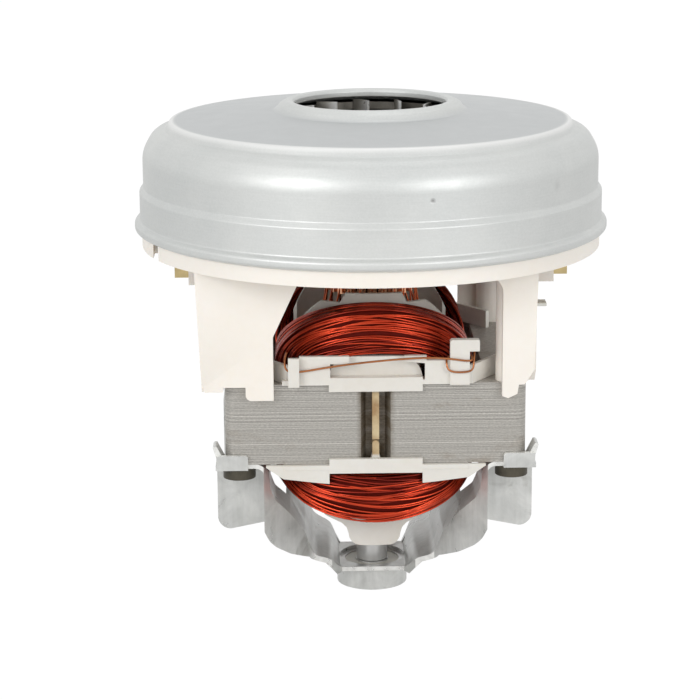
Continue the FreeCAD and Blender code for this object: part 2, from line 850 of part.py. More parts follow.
def clamping_screws():
    """Four screws that clamp bracket, stack and housing."""
    low = (S.stack_low - S.bracket_sheet - S.screw_head).value
    screws = []
    for a in (-1, 1):
        for b in (-1, 1):
            place = Vector(SCREW_X.value * a, SCREW_Y.value * b, low)
            head = Part.makeCylinder(S.screw_head_radius.value, S.screw_head.value, place)
            head = head.cut(Part.makeCylinder(1.9, 1.6, place))
            shank = Part.makeCylinder(S.screw_radius.value, S.screw_length.value,
                                      place + Vector(0, 0, S.screw_head.value))
            screws.append(head.fuse(shank).removeSplitter())
    solid_node("clamping_screws", Part.makeCompound(screws))


# Field coils

def biarc(start, heading, end, arriving, leg):
    """Two tangent arcs from start to end; leg is how far the first one reaches along heading."""
    chord = end - start
    square = chord.dot(chord) / 2
    turn = 1 - heading.dot(arriving)
    other = (square - leg * chord.dot(heading)) / (chord.dot(arriving) + leg * turn)
    knee = ((start + heading * leg) * other + (end - arriving * other) * leg) * (1 / (leg + other))
    first = tangent_arc(start, heading, knee)
    second = tangent_arc(end, -arriving, knee)
    return [Part.Arc(*first), Part.Arc(*second[::-1])]


def reversed_biarc(start, heading, end, arriving, leg):
    """The same pair of arcs where the leg is measured back from the end."""
    pair = biarc(end, -arriving, start, -heading, leg)
    turned_back = []
    for arc in pair[::-1]:
        low, high = arc.FirstParameter, arc.LastParameter
        points = [arc.value(v) for v in (high, (low + high) / 2, low)]
        turned_back.append(Part.Arc(*points))
    return turned_back


def tangent_arc(first, direction, last):
    """Three points of the arc that leaves first along direction and ends at last."""
    span = last - first
    normal = direction.cross(span)
    inward = normal.cross(direction).normalize()
    radius = span.dot(span) / (2 * span.dot(inward))
    centre = first + inward * radius
    middle = (first + last) * 0.5 - centre
    return first, centre + middle.normalize() * radius, last


def coil_thickness():
    """How far the winding reaches from its back layer to its front one."""
    return (WINDOW_HALF_DEPTH + S.coil_overhang - S.coil_inner_radius).value


def coil_quarters():
    """Corner points of every quarter turn: out over the back, across the rim, in over the front."""
    width, thick = S.coil_width.value, coil_thickness()
    quarters = 4 * int(S.coil_turns.value)
    points = []
    for step in range(quarters + 1):
        along = (2 * width + thick) * step / quarters
        size = min(along, width, 2 * width + thick - along)
        depth = min(max(along - width, 0), thick)
        points.append((step % 4, S.coil_inner_radius.value + depth, size))
    return points


def coil_corner(side, depth, size):
    """Where the winding crosses the pole's middle planes: right, top, left and bottom."""
    half = S.coil_inner_half.value + size
    middle = (STACK_TOP.value + S.stack_low.value) / 2
    out = depth + S.coil_bulge.value
    if side in (0, 2):
        across = half if side == 0 else -half
        return Vector(across, -math.sqrt(depth * depth - half * half), middle)
    if side == 1:
        return Vector(0, -out, S.coil_top_inner.value + size)
    return Vector(0, -out, S.coil_low_inner.value - size)


def coil_edges(quarters):
    """Straight flanks in the windows and biarcs over the pole, from corner to corner."""
    up, left = Vector(0, 0, 1), Vector(-1, 0, 0)
    headings = {0: up, 1: left, 2: -up, 3: -left}
    rim_top = STACK_TOP.value + 0.5
    rim_low = S.stack_low.value - 0.5
    edges = []
    for (side, depth, size), (next_side, next_depth, next_size) in zip(quarters, quarters[1:]):
        heading, arriving = headings[side], headings[next_side]
        start, end = coil_corner(side, depth, size), coil_corner(next_side, next_depth, next_size)
        grown = (size + next_size) / 2
        leg = 5.0 + 0.5 * grown if side < 2 else 2.4 + 0.65 * grown
        if side in (0, 2):
            rim = Vector(start.x, start.y, rim_top if side == 0 else rim_low)
            edges.append(Part.LineSegment(start, rim))
            edges.extend(biarc(rim, heading, end, arriving, leg))
        else:
            rim = Vector(end.x, end.y, rim_top if side == 1 else rim_low)
            edges.extend(reversed_biarc(start, heading, rim, arriving, leg))
            edges.append(Part.LineSegment(rim, end))
    return [edge.toShape() for edge in edges]


def coil_core():
    """The plain filling that the outer layer winds over, ruled between closed loops."""
    clear = S.wire_radius.value + S.core_gap.value
    inside = -S.wire_radius.value / 2
    strips = 3
    step = (S.coil_width.value - clear - inside) / strips
    back = S.coil_inner_radius.value + clear
    front = S.coil_inner_radius.value + coil_thickness() - clear
    section = [(back, inside + step * index) for index in range(strips + 1)]
    section += [(front, inside + step * index) for index in range(strips, -1, -1)]
    loops = []
    for depth, size in section:
        loops.append(coil_edges([(side % 4, depth, size) for side in range(5)]))
    faces = []
    for first, second in zip(loops, loops[1:] + loops[:1]):
        faces.extend(Part.makeRuledSurface(a, b) for a, b in zip(first, second))
    skin = Part.makeCompound(faces)
    skin.sewShape()
    core = Part.Solid(skin.Shells[0])
    if core.Volume < 0:
        core.reverse()
    return core


def tube(path, radius):
    """A round tube along a smooth path."""
    edge = path.OrderedEdges[0]
    start = edge.valueAt(edge.FirstParameter)
    tangent = edge.tangentAt(edge.FirstParameter)
    section = Part.Wire([Part.Circle(start, tangent, radius).toShape()])
    return Part.Wire(path).makePipeShell([section], True, False)


def least_gap(path, radius, spacing):
    """The least distance between stretches of one path that are not neighbours, less its width."""
    points = path.discretize(Distance=spacing)
    skip = int(6 * radius / spacing) + 2
    reach = 4 * radius
    cells = {}
    for index, point in enumerate(points):
        cells.setdefault(tuple(int(c // reach) for c in point), []).append(index)
    least = reach
    for index, point in enumerate(points):
        a, b, c = (int(v // reach) for v in point)
        for cell in ((a + i, b + j, c + k) for i in (-1, 0, 1) for j in (-1, 0, 1) for k in (-1, 0, 1)):
            for other in cells.get(cell, ()):
                if other > index + skip:
                    least = min(least, (points[other] - point).Length)
    return least - 2 * radius


def field_coils():
    """Front and rear windings: a plain core under an outer layer that is one unbroken wire."""
    path = Part.Wire(coil_edges(coil_quarters()))
    radius = S.wire_radius.value
    coil = tube(path, radius)
    length = path.Length
    print("field coil: wire", round(length), "mm, volume share",
          round(coil.Volume / (math.pi * radius * radius * length), 4),
          "least gap", round(least_gap(path, radius, 0.8), 3), "mm")
    for name, shape in (("field_coil", coil), ("coil_core", coil_core())):
        solid_node(f"{name}_front", shape)
        other = shape.copy()
        other.rotate(Vector(), Vector(0, 0, 1), 180)
        solid_node(f"{name}_rear", other)


# Insulators

def coil_guard(body, name, low, high, arch):
    """The curved wall between a coil and the armature, trimmed to its arched edge."""
    first, last = -90 - S.guard_half_angle.value, -90 + S.guard_half_angle.value
    outer = S.guard_radius + S.guard_wall
    pad(body, f"{name}_guard", "XY", low, high - low, [
        polar(outer, first),
        (0, -outer, outer, 1),
        (*polar(outer, last), outer, 1),
        polar(S.guard_radius, last),
        (0, -S.guard_radius, S.guard_radius, -1),
        (*polar(S.guard_radius, first), S.guard_radius, -1),
    ])
    pocket(body, f"{name}_arch", "XZ", outer + 1, outer + 1, arch)


def upper_insulator(label, turn):
    """Upper end of one pole: saddle, arched guard with its tab, front band, plates, post and peg."""
    body = new_body(label, turn)
    base = STACK_TOP
    saddle_back = S.guard_radius + S.guard_wall / 2
    far = S.guard_radius + 4
    shoulder = S.guard_shoulder
    coil_guard(body, "upper", base, S.guard_top, [
        (-far, base + 5),
        (-23, base + 7),
        (-14.4, shoulder, 26, -1),
        (-9.2, shoulder),
        (-7.2, S.guard_top + 1),
        (7.2, S.guard_top + 1),
        (9.2, shoulder),
        (14.4, shoulder),
        (23, base + 7, 26, -1),
        (far, base + 5),
        (far, S.guard_top + 4),
        (-far, S.guard_top + 4),
    ])
    round_over = 6
    half = S.neck_half
    pad(body, "saddle", "XZ", saddle_back, SADDLE_FRONT - saddle_back, [
        (-half, base),
        (half, base),
        (half, S.saddle_top - round_over),
        (half - round_over, S.saddle_top, round_over, 1),
        (round_over - half, S.saddle_top),
        (-half, S.saddle_top - round_over, round_over, 1),
    ])
    front = PLATE_FRONT
    strip_back = WINDOW_HALF_DEPTH + 2.3
    reach = S.peg_left + S.peg_wide
    pad(body, "strip", "XZ", strip_back, front - strip_back, box_outline(
        -reach, reach, base + S.part_gap, base + S.plate_wall))
    pad(body, "band", "XZ", SADDLE_FRONT - 0.5, front - SADDLE_FRONT + 0.5, box_outline(
        -S.band_half, S.band_half, base + S.part_gap, S.band_top))
    lip_back = S.stack_half_depth + S.part_gap
    pad(body, "band_lip", "XZ", lip_back, front - lip_back, box_outline(
        -S.band_half, S.band_half, base - S.band_lip, base + 1))
    plate_back = front - S.plate_wall
    pad(body, "plates", "XZ", plate_back, S.plate_wall,
        [(-S.post_left, base + 0.4), (-S.band_half + 0.4, base + 0.4), (-S.band_half + 0.4, S.plate_top - 0.8),
         (-7.2, S.plate_top - 0.8), (-7.2, S.plate_top + 1.3), (-S.post_left, S.plate_top + 1.3)],
        [(S.band_half + 0.6, base + 0.4), (S.peg_left + 1, base + 0.4), (S.peg_left + 1, S.plate_top),
         (S.band_half + 1, S.plate_top), (S.band_half + 1, S.plate_top + 1.3), (7.8, S.plate_top + 1.3),
         (7.8, S.plate_top - 0.2), (S.band_half + 0.6, S.plate_top - 0.8)])
    peg_front = front + 1
    pad(body, "peg", "XZ", plate_back, peg_front - plate_back, [
        (S.peg_left, base + S.part_gap),
        (S.peg_left + S.peg_wide, base + S.part_gap),
        (S.peg_left + S.peg_wide, S.peg_top - S.hook_tall),
        (S.peg_left + S.peg_wide + S.hook_wide, S.peg_top - S.hook_tall),
        (S.peg_left + S.peg_wide + S.hook_wide, S.peg_top - 0.5),
        (S.peg_left + S.peg_wide + S.hook_wide - 0.5, S.peg_top, 0.6, 1),
        (S.peg_left + 0.4, S.peg_top),
        (S.peg_left, S.peg_top - 0.4),
    ])
    post_back = front + 2 * S.lead_radius + 2 * S.part_gap
    post_edge = S.post_left + S.post_wide
    pad(body, "post_foot", "XZ", front - 1, 3.2, box_outline(
        -post_edge, -S.post_left, base + S.part_gap, base + S.plate_wall))
    pad(body, "post", "XZ", post_back, front + 2.2 - post_back, box_outline(
        -post_edge, -S.post_left, base + S.part_gap, S.post_top))
    for side, inward, start in ((-1, 1.9, 1.8), (1, 0, 0.5)):
        pad(body, f"side_wall_{'left' if side < 0 else 'right'}", "XY", base + S.part_gap, 5.2, [
            ((25.0 - inward) * side, start - front),
            ((26.4 - inward) * side, start - front),
            ((38.0 - inward) * side, -24.6),
            ((37.0 - inward) * side, -23.8),
        ][::side])
    tongue_back = S.stack_half_depth - S.notch_depth + 1
    pad(body, "tongue", "XZ", tongue_back, 3, [
        (-S.tongue_half, base + 1.2),
        (-S.tongue_half, S.tongue_end),
        (S.tongue_half, S.tongue_end),
        (S.tongue_half, base + 1.2),
    ])


def lower_insulator(label, turn):
    """Lower end of one pole: saddle, guard with its hanging tab, front plate and side plates."""
    body = new_body(label, turn)
    base = S.stack_low
    saddle_back = S.guard_radius + S.guard_wall / 2
    far = S.guard_radius + 4
    shoulder = S.guard_low_shoulder
    coil_guard(body, "lower", S.guard_low, base, [
        (-far, base - 4),
        (-far, S.guard_low - 4),
        (far, S.guard_low - 4),
        (far, base - 4),
        (23, base - 6),
        (13.6, shoulder + 1.6, 24, -1),
        (9.2, shoulder),
        (7.9, shoulder - 1.2),
        (7.3, S.guard_low + 3.2),
        (4.1, S.guard_low, 3.2, -1),
        (4.1, S.guard_low - 1),
        (-4.1, S.guard_low - 1),
        (-4.1, S.guard_low),
        (-7.3, S.guard_low + 3.2, 3.2, -1),
        (-7.9, shoulder - 1.2),
        (-9.2, shoulder),
        (-13.6, shoulder + 1.6),
        (-23, base - 6, 24, -1),
    ])
    half = S.neck_half - 0.4
    round_over = 1.6
    pad(body, "saddle", "XZ", saddle_back, SADDLE_FRONT - saddle_back, [
        (-half, base),
        (-half, S.saddle_low + round_over),
        (round_over - half, S.saddle_low, round_over, 1),
        (half - round_over, S.saddle_low),
        (half, S.saddle_low + round_over, round_over, 1),
        (half, base),
    ])
    front = PLATE_FRONT
    strip_back = WINDOW_HALF_DEPTH + 2.3
    pad(body, "strip", "XZ", strip_back, front - strip_back, box_outline(
        -25.4, 25.4, base - S.plate_wall, base - S.part_gap))
    lip_back = S.stack_half_depth + S.part_gap
    pad(body, "front_plate", "XZ", lip_back, front - lip_back, box_outline(
        -S.band_half, S.band_half, base - 2.4, base + S.band_lip - S.part_gap))
    for side in (-1, 1):
        pad(body, f"side_plate_{'left' if side < 0 else 'right'}", "XZ", lip_back,
            front - lip_back - 0.2, [
            (S.band_half * side, base - S.part_gap),
            (S.band_half * side, base - 5.4),
            (16.7 * side, base - 5.0),
            (25.4 * side, base - 3.9),
            (30.2 * side, base - 0.6),
            (30.2 * side, base - S.part_gap),
        ][::side])
    tongue_back = S.stack_half_depth - S.notch_depth + 1
    end = S.tongue_end - S.safe_gap
    pad(body, "tongue", "XZ", tongue_back, 3.2, [
        (-1.8, base - 1),
        (1.8, base - 1),
        (S.tongue_half, base + 2.4),
        (S.tongue_half, end - S.tongue_half),
        (0, end, S.tongue_half * 1.05, 1),
        (-S.tongue_half, end - S.tongue_half, S.tongue_half * 1.05, 1),
        (-S.tongue_half, base + 2.4),
    ])


def rounded_path(points, radius):
    """Straight runs joined by tangent arcs at the given corners."""
    edges = []
    start = points[0]
    for before, corner, after in zip(points, points[1:], points[2:]):
        incoming = (corner - before).normalize()
        outgoing = (after - corner).normalize()
        half = incoming.getAngle(outgoing) / 2
        setback = radius * math.tan(half)
        first = corner - incoming * setback
        last = corner + outgoing * setback
        bisector = (outgoing - incoming).normalize()
        middle = corner + bisector * (radius / math.cos(half) - radius)
        edges.append(Part.LineSegment(start, first))
        edges.append(Part.Arc(first, middle, last))
        start = last
    edges.append(Part.LineSegment(start, points[-1]))
    return Part.Wire([edge.toShape() for edge in edges])


def field_leads():
    """The thin lead of each coil, round the post and twice round the peg."""
    front = PLATE_FRONT.value
    wire = S.lead_radius.value
    gap = S.part_gap.value
    post_left = -(S.post_left.value + S.post_wide.value)
    peg_left = S.peg_left.value
    peg_right = peg_left + S.peg_wide.value
    on_plate = -front - wire - gap
    on_peg = -front - 1 - wire - gap
    behind = -front + S.plate_wall.value + wire + gap
    top = S.plate_top.value
    points = [
        Vector(post_left - 0.7, -front + 1.6, top + 0.2),
        Vector(post_left - 0.9, -front - 0.1, top - 2.6),
        Vector(post_left + 0.8, on_plate, top - 3.5),
        Vector(-12.0, on_plate, top - 1.6),
        Vector(7.0, on_plate - 0.2, top + 0.3),
        Vector(peg_left - 0.6, on_peg, top + 0.1),
        Vector(peg_right + wire + gap + 0.2, on_peg, top - 0.1),
        Vector(peg_right + wire + gap + 0.4, behind, top - 0.3),
    ]
    path = rounded_path(points, 0.62)
    lead = tube(path, wire)
    solid_node("field_lead_front", lead)
    other = lead.copy()
    other.rotate(Vector(), Vector(0, 0, 1), 180)
    solid_node("field_lead_rear", other)


def brush_gear():
    """Brass holders, carbon brushes and their springs, on both sides of the commutator."""
    half_y = S.brush_width / 2
    half_z = S.brush_tall / 2
    low_z, high_z = S.brush_z - half_z, S.brush_z + half_z
    gap, wall = S.slide_gap, S.holder_wall
    for side, turn in (("right", 0), ("left", 180)):
        holder = new_body(f"brush_holder_{side}", turn)
        outer_y, outer_z = half_y + gap + wall, half_z + gap + wall
        length = S.holder_outer_end - S.holder_inner_end
        pad(holder, "tube", "YZ", S.holder_inner_end, length, box_outline(
            -outer_y, outer_y, S.brush_z - outer_z, S.brush_z + outer_z))
        pocket(holder, "bore", "YZ", S.holder_outer_end - wall, length, box_outline(
            -half_y - gap, half_y + gap, low_z - gap, high_z + gap))
        brush = new_body(f"carbon_brush_{side}", turn)
        pad(brush, "block", "YZ", S.commutator_radius - 1, S.brush_length + 1, box_outline(
            -half_y, half_y, low_z, high_z))
        pocket(brush, "face", "XY", high_z, S.brush_tall, circle(0, 0, S.commutator_radius + gap))
        start = (S.commutator_radius + S.brush_length + S.spring_wire + S.slide_gap).value
        end = (S.holder_outer_end - wall - S.spring_wire - S.slide_gap).value
        turns = S.spring_turns.value
        helix = Part.makeHelix((end - start) / turns, end - start, S.spring_radius.value)
        section = Part.Wire([Part.Circle(Vector(S.spring_radius.value, 0, 0), Vector(0, 1, 0),
                                         S.spring_wire.value).toShape()])
        spring = Part.Wire(helix).makePipeShell([section], True, True)
        spring.rotate(Vector(), Vector(0, 1, 0), 90)
        spring.translate(Vector(start, 0, S.brush_z.value))
        spring.rotate(Vector(), Vector(0, 0, 1), turn)
        solid_node(f"brush_spring_{side}", spring)


# Bearing bracket

RAMP = [(12.0, 12.1), (17.3, 14.4), (19.6, 22.3), (23.9, 30.1), (28.0, 35.9), (29.2, 39.7), (29.4, 43.4)]
SKIRT_LOW = [(30.95, 28.0), (29.6, 24.5), (27.7, 21.8), (23.7, 17.9), (19.5, 15.0), (14.3, 11.8), (10.4, 7.4)]


def softened(points, radius):
    """A run of corners with every inner one rounded, for an outline."""
    run = [points[0]]
    for before, corner, after in zip(points, points[1:], points[2:]):
        a, b, c = (Vector(x, z, 0) for x, z in (before, corner, after))
        incoming, outgoing = (b - a).normalize(), (c - b).normalize()
        half = incoming.getAngle(outgoing) / 2
        if half < 0.02:
            continue
        setback = min(radius * math.tan(half), 0.45 * (b - a).Length, 0.45 * (c - b).Length)
        first, last = b - incoming * setback, b + outgoing * setback
        turn = 1 if incoming.cross(outgoing).z > 0 else -1
        run += [(first.x, first.y), (last.x, last.y, setback / math.tan(half), turn)]
    return run + [points[-1]]


def bracket_quarter():
    """The right front quarter: half hub, ramp, foot with its clip, skirt and folded foot wall."""
    gauge = S.bracket_sheet
    top = S.stack_low
    front = FOOT_FRONT
    ribbon = extruded("ribbon", "XZ", 0, front, [
        (0, S.hub_top),
        (0, S.hub_top - gauge),
        *softened([
            ((S.hub_half_width + 0.9).value, (S.hub_top - gauge).value),
            *[(x + 0.9, z - 1.2) for x, z in RAMP[:2]],
            *[(x + 1.25, z - 0.45) for x, z in RAMP[2:]],
        ], 4),
        (33.0, top - gauge, 2.6, -1),
        (FOOT_OUTER, top - gauge),
        (FOOT_OUTER, top),
        (33.0, top),
        (29.4, 43.4, 4.2, 1),
        *softened([*RAMP[::-1], (S.hub_half_width.value, S.hub_top.value)], 4)[1:],
    ])
    plan = extruded("plan", "XY", 0, top + 8, [
        (0, -S.hub_half_depth),
        (S.hub_half_width - 0.5, -S.hub_half_depth),
        (12.0, -17.6),
        (17.3, -20.0),
        (30.9, 0.4 - S.stack_half_depth),
        (S.clip_inner, 0.4 - S.stack_half_depth),
        (S.clip_inner, -front),
        (FOOT_OUTER, -front),
        (FOOT_OUTER, -FOOT_BACK),
        (33.0, -FOOT_BACK),
        (25.0, -16.0),
        (25.0, 0),
        (0, 0),
    ])
    web = common("web", ribbon, plan)
    fold = extruded("fold", "XY", 0, top, [
        (9.0, -S.hub_half_depth),
        (12.0, -17.6),
        (17.3, -20.0),
        (30.9, 0.4 - S.stack_half_depth),
        (30.95, -FOOT_BACK - gauge),
        (FOOT_OUTER, -FOOT_BACK - gauge),
        (FOOT_OUTER, -FOOT_BACK),
        (29.7, -FOOT_BACK),
        (29.7, 4.5 - S.stack_half_depth),
        (16.6, -18.3),
        (12.8, -16.5),
        (9.9, -S.hub_half_depth + 0.6),
        (9.0, -S.hub_half_depth + 1.3),
    ])
    sheet_side = extruded("sheet_side", "XZ", 0, front + 1, [
        (9.0, S.hub_top - 0.2),
        (9.0, S.hub_top - gauge),
        *softened(SKIRT_LOW[::-1], 9),
        (FOOT_OUTER - 3.6, 26.1),
        (FOOT_OUTER, 29.7, 3.6, 1),
        (FOOT_OUTER, top - 0.2),
        (33.0, top - 0.5),
        (30.8, top - 1.9),
        *[(x + 0.2, z - 0.4) for x, z in RAMP[::-1]],
    ])
    skirt = common("skirt", fold, sheet_side)
    clip = extruded("clip", "XZ", S.stack_half_depth + S.part_gap,
                    front - S.stack_half_depth - S.part_gap, [
        (S.clip_inner, top - gauge),
        (FOOT_OUTER - 0.4, top - gauge),
        (FOOT_OUTER - 0.2, top + S.clip_rise),
        (S.clip_inner + 0.5, top + S.clip_rise),
        (S.clip_inner, top + S.clip_rise - 0.6),
    ])
    side = S.stack_half_width + S.part_gap
    ear = extruded("ear", "XZ", front - 6.4, 5.8, [
        (side, top - gauge),
        (side + gauge, top - gauge),
        (side + gauge + 2, top + S.ear_rise - 0.4),
        (side + gauge + 0.9, top + S.ear_rise, 0.9, 1),
        (side, top + 1),
    ])
    return joined("bracket_quarter", web, skirt, clip, ear)


def bearing_bracket():
    """The whole spider: four quarters and the drawn cup of the lower bearing."""
    quarter = bracket_quarter()
    back = reflected("bracket_back_quarter", quarter, Vector(0, 1, 0))
    right = joined("bracket_right", quarter, back)
    left = reflected("bracket_left", right, Vector(1, 0, 0))
    cup = doc.addObject("Part::Cylinder", "cup_outside")
    bind(cup, "Radius", S.cup_radius)
    bind(cup, "Height", S.hub_top)
    shell = joined("bracket_shell", right, left, cup)
    seat = doc.addObject("Part::Cylinder", "bearing_seat")
    bind(seat, "Radius", S.lower_bearing_radius + S.fit_gap)
    bind(seat, "Height", S.hub_top + 5)
    bind(seat, "Placement.Base.z", S.cup_floor)
    bored = cut("bracket_bored", shell, seat)
    drills = []
    for a in (-1, 1):
        for b in (-1, 1):
            drill = doc.addObject("Part::Cylinder", "screw_drill")
            bind(drill, "Radius", S.screw_hole)
            bind(drill, "Height", S.bracket_sheet + 4)
            bind(drill, "Placement.Base.x", SCREW_X * a)
            bind(drill, "Placement.Base.y", SCREW_Y * b)
            bind(drill, "Placement.Base.z", S.stack_low - S.bracket_sheet - 2)
            drills.append(drill)
    bracket = cut("bearing_bracket", bored, joined("screw_drills", *drills))
    bracket.Label = "bearing_bracket"
    nodes["bearing_bracket"] = bracket


# Rotor

def shaft():
    """Stepped shaft from the lower bearing to the impeller nut."""
    low_end, top_end = S.lower_bearing_bore - S.fit_gap, S.upper_bearing_bore - S.fit_gap
    step = S.cup_floor + S.bearing_width + S.safe_gap
    chamfer = 0.6
    turned("shaft", [
        (0, S.shaft_low),
        (low_end - chamfer, S.shaft_low),
        (low_end, S.shaft_low + chamfer),
        (low_end, step),
        (S.shaft_radius, step),
        (S.shaft_radius, S.upper_bearing_low - S.part_gap),
        (top_end, S.upper_bearing_low - S.part_gap),
        (top_end, S.shaft_top - chamfer),
        (top_end - chamfer, S.shaft_top),
        (0, S.shaft_top),
    ])


def armature():
    """Slotted core, its end plates, and the winding that fills the slots and both heads."""
    core = new_body("armature_core")
    bore = S.shaft_radius + S.fit_gap
    pad(core, "core", "XY", S.stack_low, S.stack_tall,
        circle(0, 0, S.armature_radius), circle(0, 0, bore))
    slot = pocket(core, "slot", "XY", STACK_TOP, S.stack_tall, circle(S.slot_centre, 0, S.slot_radius))
    mouth = pocket(core, "slot_mouth", "XY", STACK_TOP, S.stack_tall, box_outline(
        S.slot_centre, S.armature_radius + 1, -S.slot_mouth, S.slot_mouth))
    around(core, "slots", [slot, mouth], S.slot_count)
    plate_radius = S.slot_centre - S.slot_radius - 0.4
    plates = []
    for base in (S.stack_low.value - S.end_plate.value, STACK_TOP.value):
        disc = Part.makeCylinder(plate_radius.value, S.end_plate.value, Vector(0, 0, base))
        plates.append(disc.cut(Part.makeCylinder(bore.value, S.end_plate.value, Vector(0, 0, base))))
    solid_node("armature_end_plates", Part.makeCompound(plates))
    winding = new_body("armature_winding")
    neck = S.shaft_radius + S.safe_gap
    head = S.winding_radius
    above, below = STACK_TOP + S.end_plate + S.part_gap, S.stack_low - S.end_plate - S.part_gap
    turn_more(winding, "upper_head", [
        (neck, above),
        (head - 1, above),
        (head, above + 1),
        (head - 1.5, S.winding_top - 6, 14, 1),
        (head - 7.5, S.winding_top, 9, 1),
        (neck, S.winding_top),
    ])
    bar = pad(winding, "slot_fill", "XY", below - 1, above - below + 2,
              circle(S.slot_centre, 0, S.slot_radius - 0.25))
    around(winding, "slot_fills", [bar], S.slot_count)
    turn_more(winding, "lower_head", [
        (neck, below),
        (neck, S.winding_low),
        (head - 6, S.winding_low),
        (head, below - 3, 11, 1),
        (head, below - 1),
        (head - 1, below),
    ])


def commutator():
    """Moulded hub with copper bars; each bar has a hook for its armature wire."""
    hub = S.commutator_hub - S.part_gap / 2
    collar = S.upper_bearing_bore + 1.6
    bore = S.shaft_radius + S.fit_gap
    turned("commutator_hub", [
        (bore, S.bar_low - 1),
        (hub, S.bar_low - 1),
        (hub, S.bar_top + 0.8),
        (collar, S.bar_top + 0.8),
        (collar, S.upper_bearing_low - S.part_gap),
        (bore, S.upper_bearing_low - S.part_gap),
    ])
    inner, outer = S.commutator_hub.value, S.commutator_radius.value
    low, tall = S.bar_low.value, (S.bar_top - S.bar_low).value
    copper = Part.makeCylinder(outer, tall, Vector(0, 0, low))
    copper = copper.cut(Part.makeCylinder(inner, tall, Vector(0, 0, low)))
    count = int(S.bar_count.value)
    width = 2 * math.pi * outer / count - S.mica_width.value
    keep = Part.makeBox(outer + 1, width, tall, Vector(0, -width / 2, low))
    bar = copper.common(keep)
    hook_wide = width * 0.6
    hook_out = S.hook_radius.value
    hook = Part.makeBox(hook_out - outer + 0.6, hook_wide, S.hook_height.value,
                        Vector(outer - 0.6, -hook_wide / 2, low))
    bar = bar.fuse(hook).removeSplitter()
    bars = []
    for index in range(count):
        copy = bar.copy()
        copy.rotate(Vector(), Vector(0, 0, 1), 360 * index / count)
        bars.append(copy)
    solid_node("commutator_bars", Part.makeCompound(bars))


def impeller():
    """Riveted sheet-metal impeller, clamped by hub flange, spacer, washer and nut."""
    bore = S.upper_bearing_bore
    turned("shaft_spacer", [
        (bore, BEARING_TOP),
        (S.spacer_radius - 0.6, BEARING_TOP),
        (S.spacer_radius - 0.6, BEARING_TOP + 1),
        (S.spacer_radius, BEARING_TOP + 1),
        (S.spacer_radius, S.back_plate_low - S.hub_flange),
        (bore, S.back_plate_low - S.hub_flange),
    ])
    turned("impeller_hub", [
        (bore, S.back_plate_low - S.hub_flange),
        (S.hub_flange_radius, S.back_plate_low - S.hub_flange),
        (S.hub_flange_radius, S.back_plate_low),
        (bore, S.back_plate_low),
    ])
    turned("impeller_back_plate", [
        (bore, S.back_plate_low),
        (IMPELLER_RADIUS, S.back_plate_low),
        (IMPELLER_RADIUS, FAN_PLATE_TOP),
        (bore, FAN_PLATE_TOP),
    ])
    gauge = S.shroud_sheet
    bend_r, bend_z = S.shroud_eye + 3, S.shroud_eye_z - 2.6
    turned("impeller_shroud", [
        (S.shroud_eye, S.shroud_eye_z),
        (S.shroud_eye - gauge, S.shroud_eye_z),
        (S.shroud_eye - gauge, bend_z + 0.6),
        (bend_r - gauge, bend_z - gauge, 3.6, 1),
        (IMPELLER_RADIUS, S.shroud_rim_z - gauge),
        (IMPELLER_RADIUS, S.shroud_rim_z),
        (bend_r, bend_z),
        (S.shroud_eye, bend_z + 1.4, 3.4, -1),
    ])
    turned("fan_washer", [
        (bore, FAN_PLATE_TOP),
        (S.washer_radius, FAN_PLATE_TOP),
        (S.washer_radius, FAN_PLATE_TOP + S.washer),
        (bore, FAN_PLATE_TOP + S.washer),
    ])
    nut = new_body("fan_nut")
    nut_low = FAN_PLATE_TOP + S.washer
    corner = S.nut_flats / math.sqrt(3)
    pad(nut, "hexagon", "XY", nut_low, S.nut_tall,
        [polar(corner, 60 * index) for index in range(6)], circle(0, 0, bore))
    impeller_blades()


def impeller_blades():
    """Backward-curved blades between the back plate and the shroud."""
    inner, outer = S.blade_inner.value, IMPELLER_RADIUS.value - 0.5
    gauge = S.blade_sheet.value
    low = FAN_PLATE_TOP.value
    sweep = math.radians(58)
    start = Vector(inner, 0, low)
    end = Vector(outer * math.cos(sweep), outer * math.sin(sweep), low)
    chord = end - start
    bow = Vector(chord.y, -chord.x, 0).normalize() * chord.Length * 0.2
    middle = (start + end) * 0.5 + bow
    tall = S.blade_top.value - low
    curved_sheet = strip(start, middle, end, gauge).extrude(Vector(0, 0, tall))
    under = S.shroud_sheet.value + S.part_gap.value
    bend_r = S.shroud_eye.value + 3 - under
    bend_z = S.shroud_eye_z.value - 2.6 - under
    gallery = Part.makePolygon([
        Vector(inner - 2, 0, low),
        Vector(outer + 2, 0, low),
        Vector(outer + 2, 0, S.shroud_rim_z.value - under - 0.5),
        Vector(bend_r, 0, bend_z - 0.4),
        Vector(bend_r - 1.4, 0, bend_z - 0.1),
        Vector(bend_r - 3.2, 0, bend_z + 1.1),
        Vector(bend_r - 3.2, 0, S.blade_top.value),
        Vector(inner - 2, 0, S.blade_top.value),
        Vector(inner - 2, 0, low),
    ])
    room = Part.Face(gallery).revolve(Vector(), Vector(0, 0, 1), 360)
    blade = curved_sheet.common(room)
    count = int(S.blade_count.value)
    blades = []
    for index in range(count):
        copy = blade.copy()
        copy.rotate(Vector(), Vector(0, 0, 1), 360 * index / count)
        blades.append(copy)
    solid_node("impeller_blades", Part.makeCompound(blades))


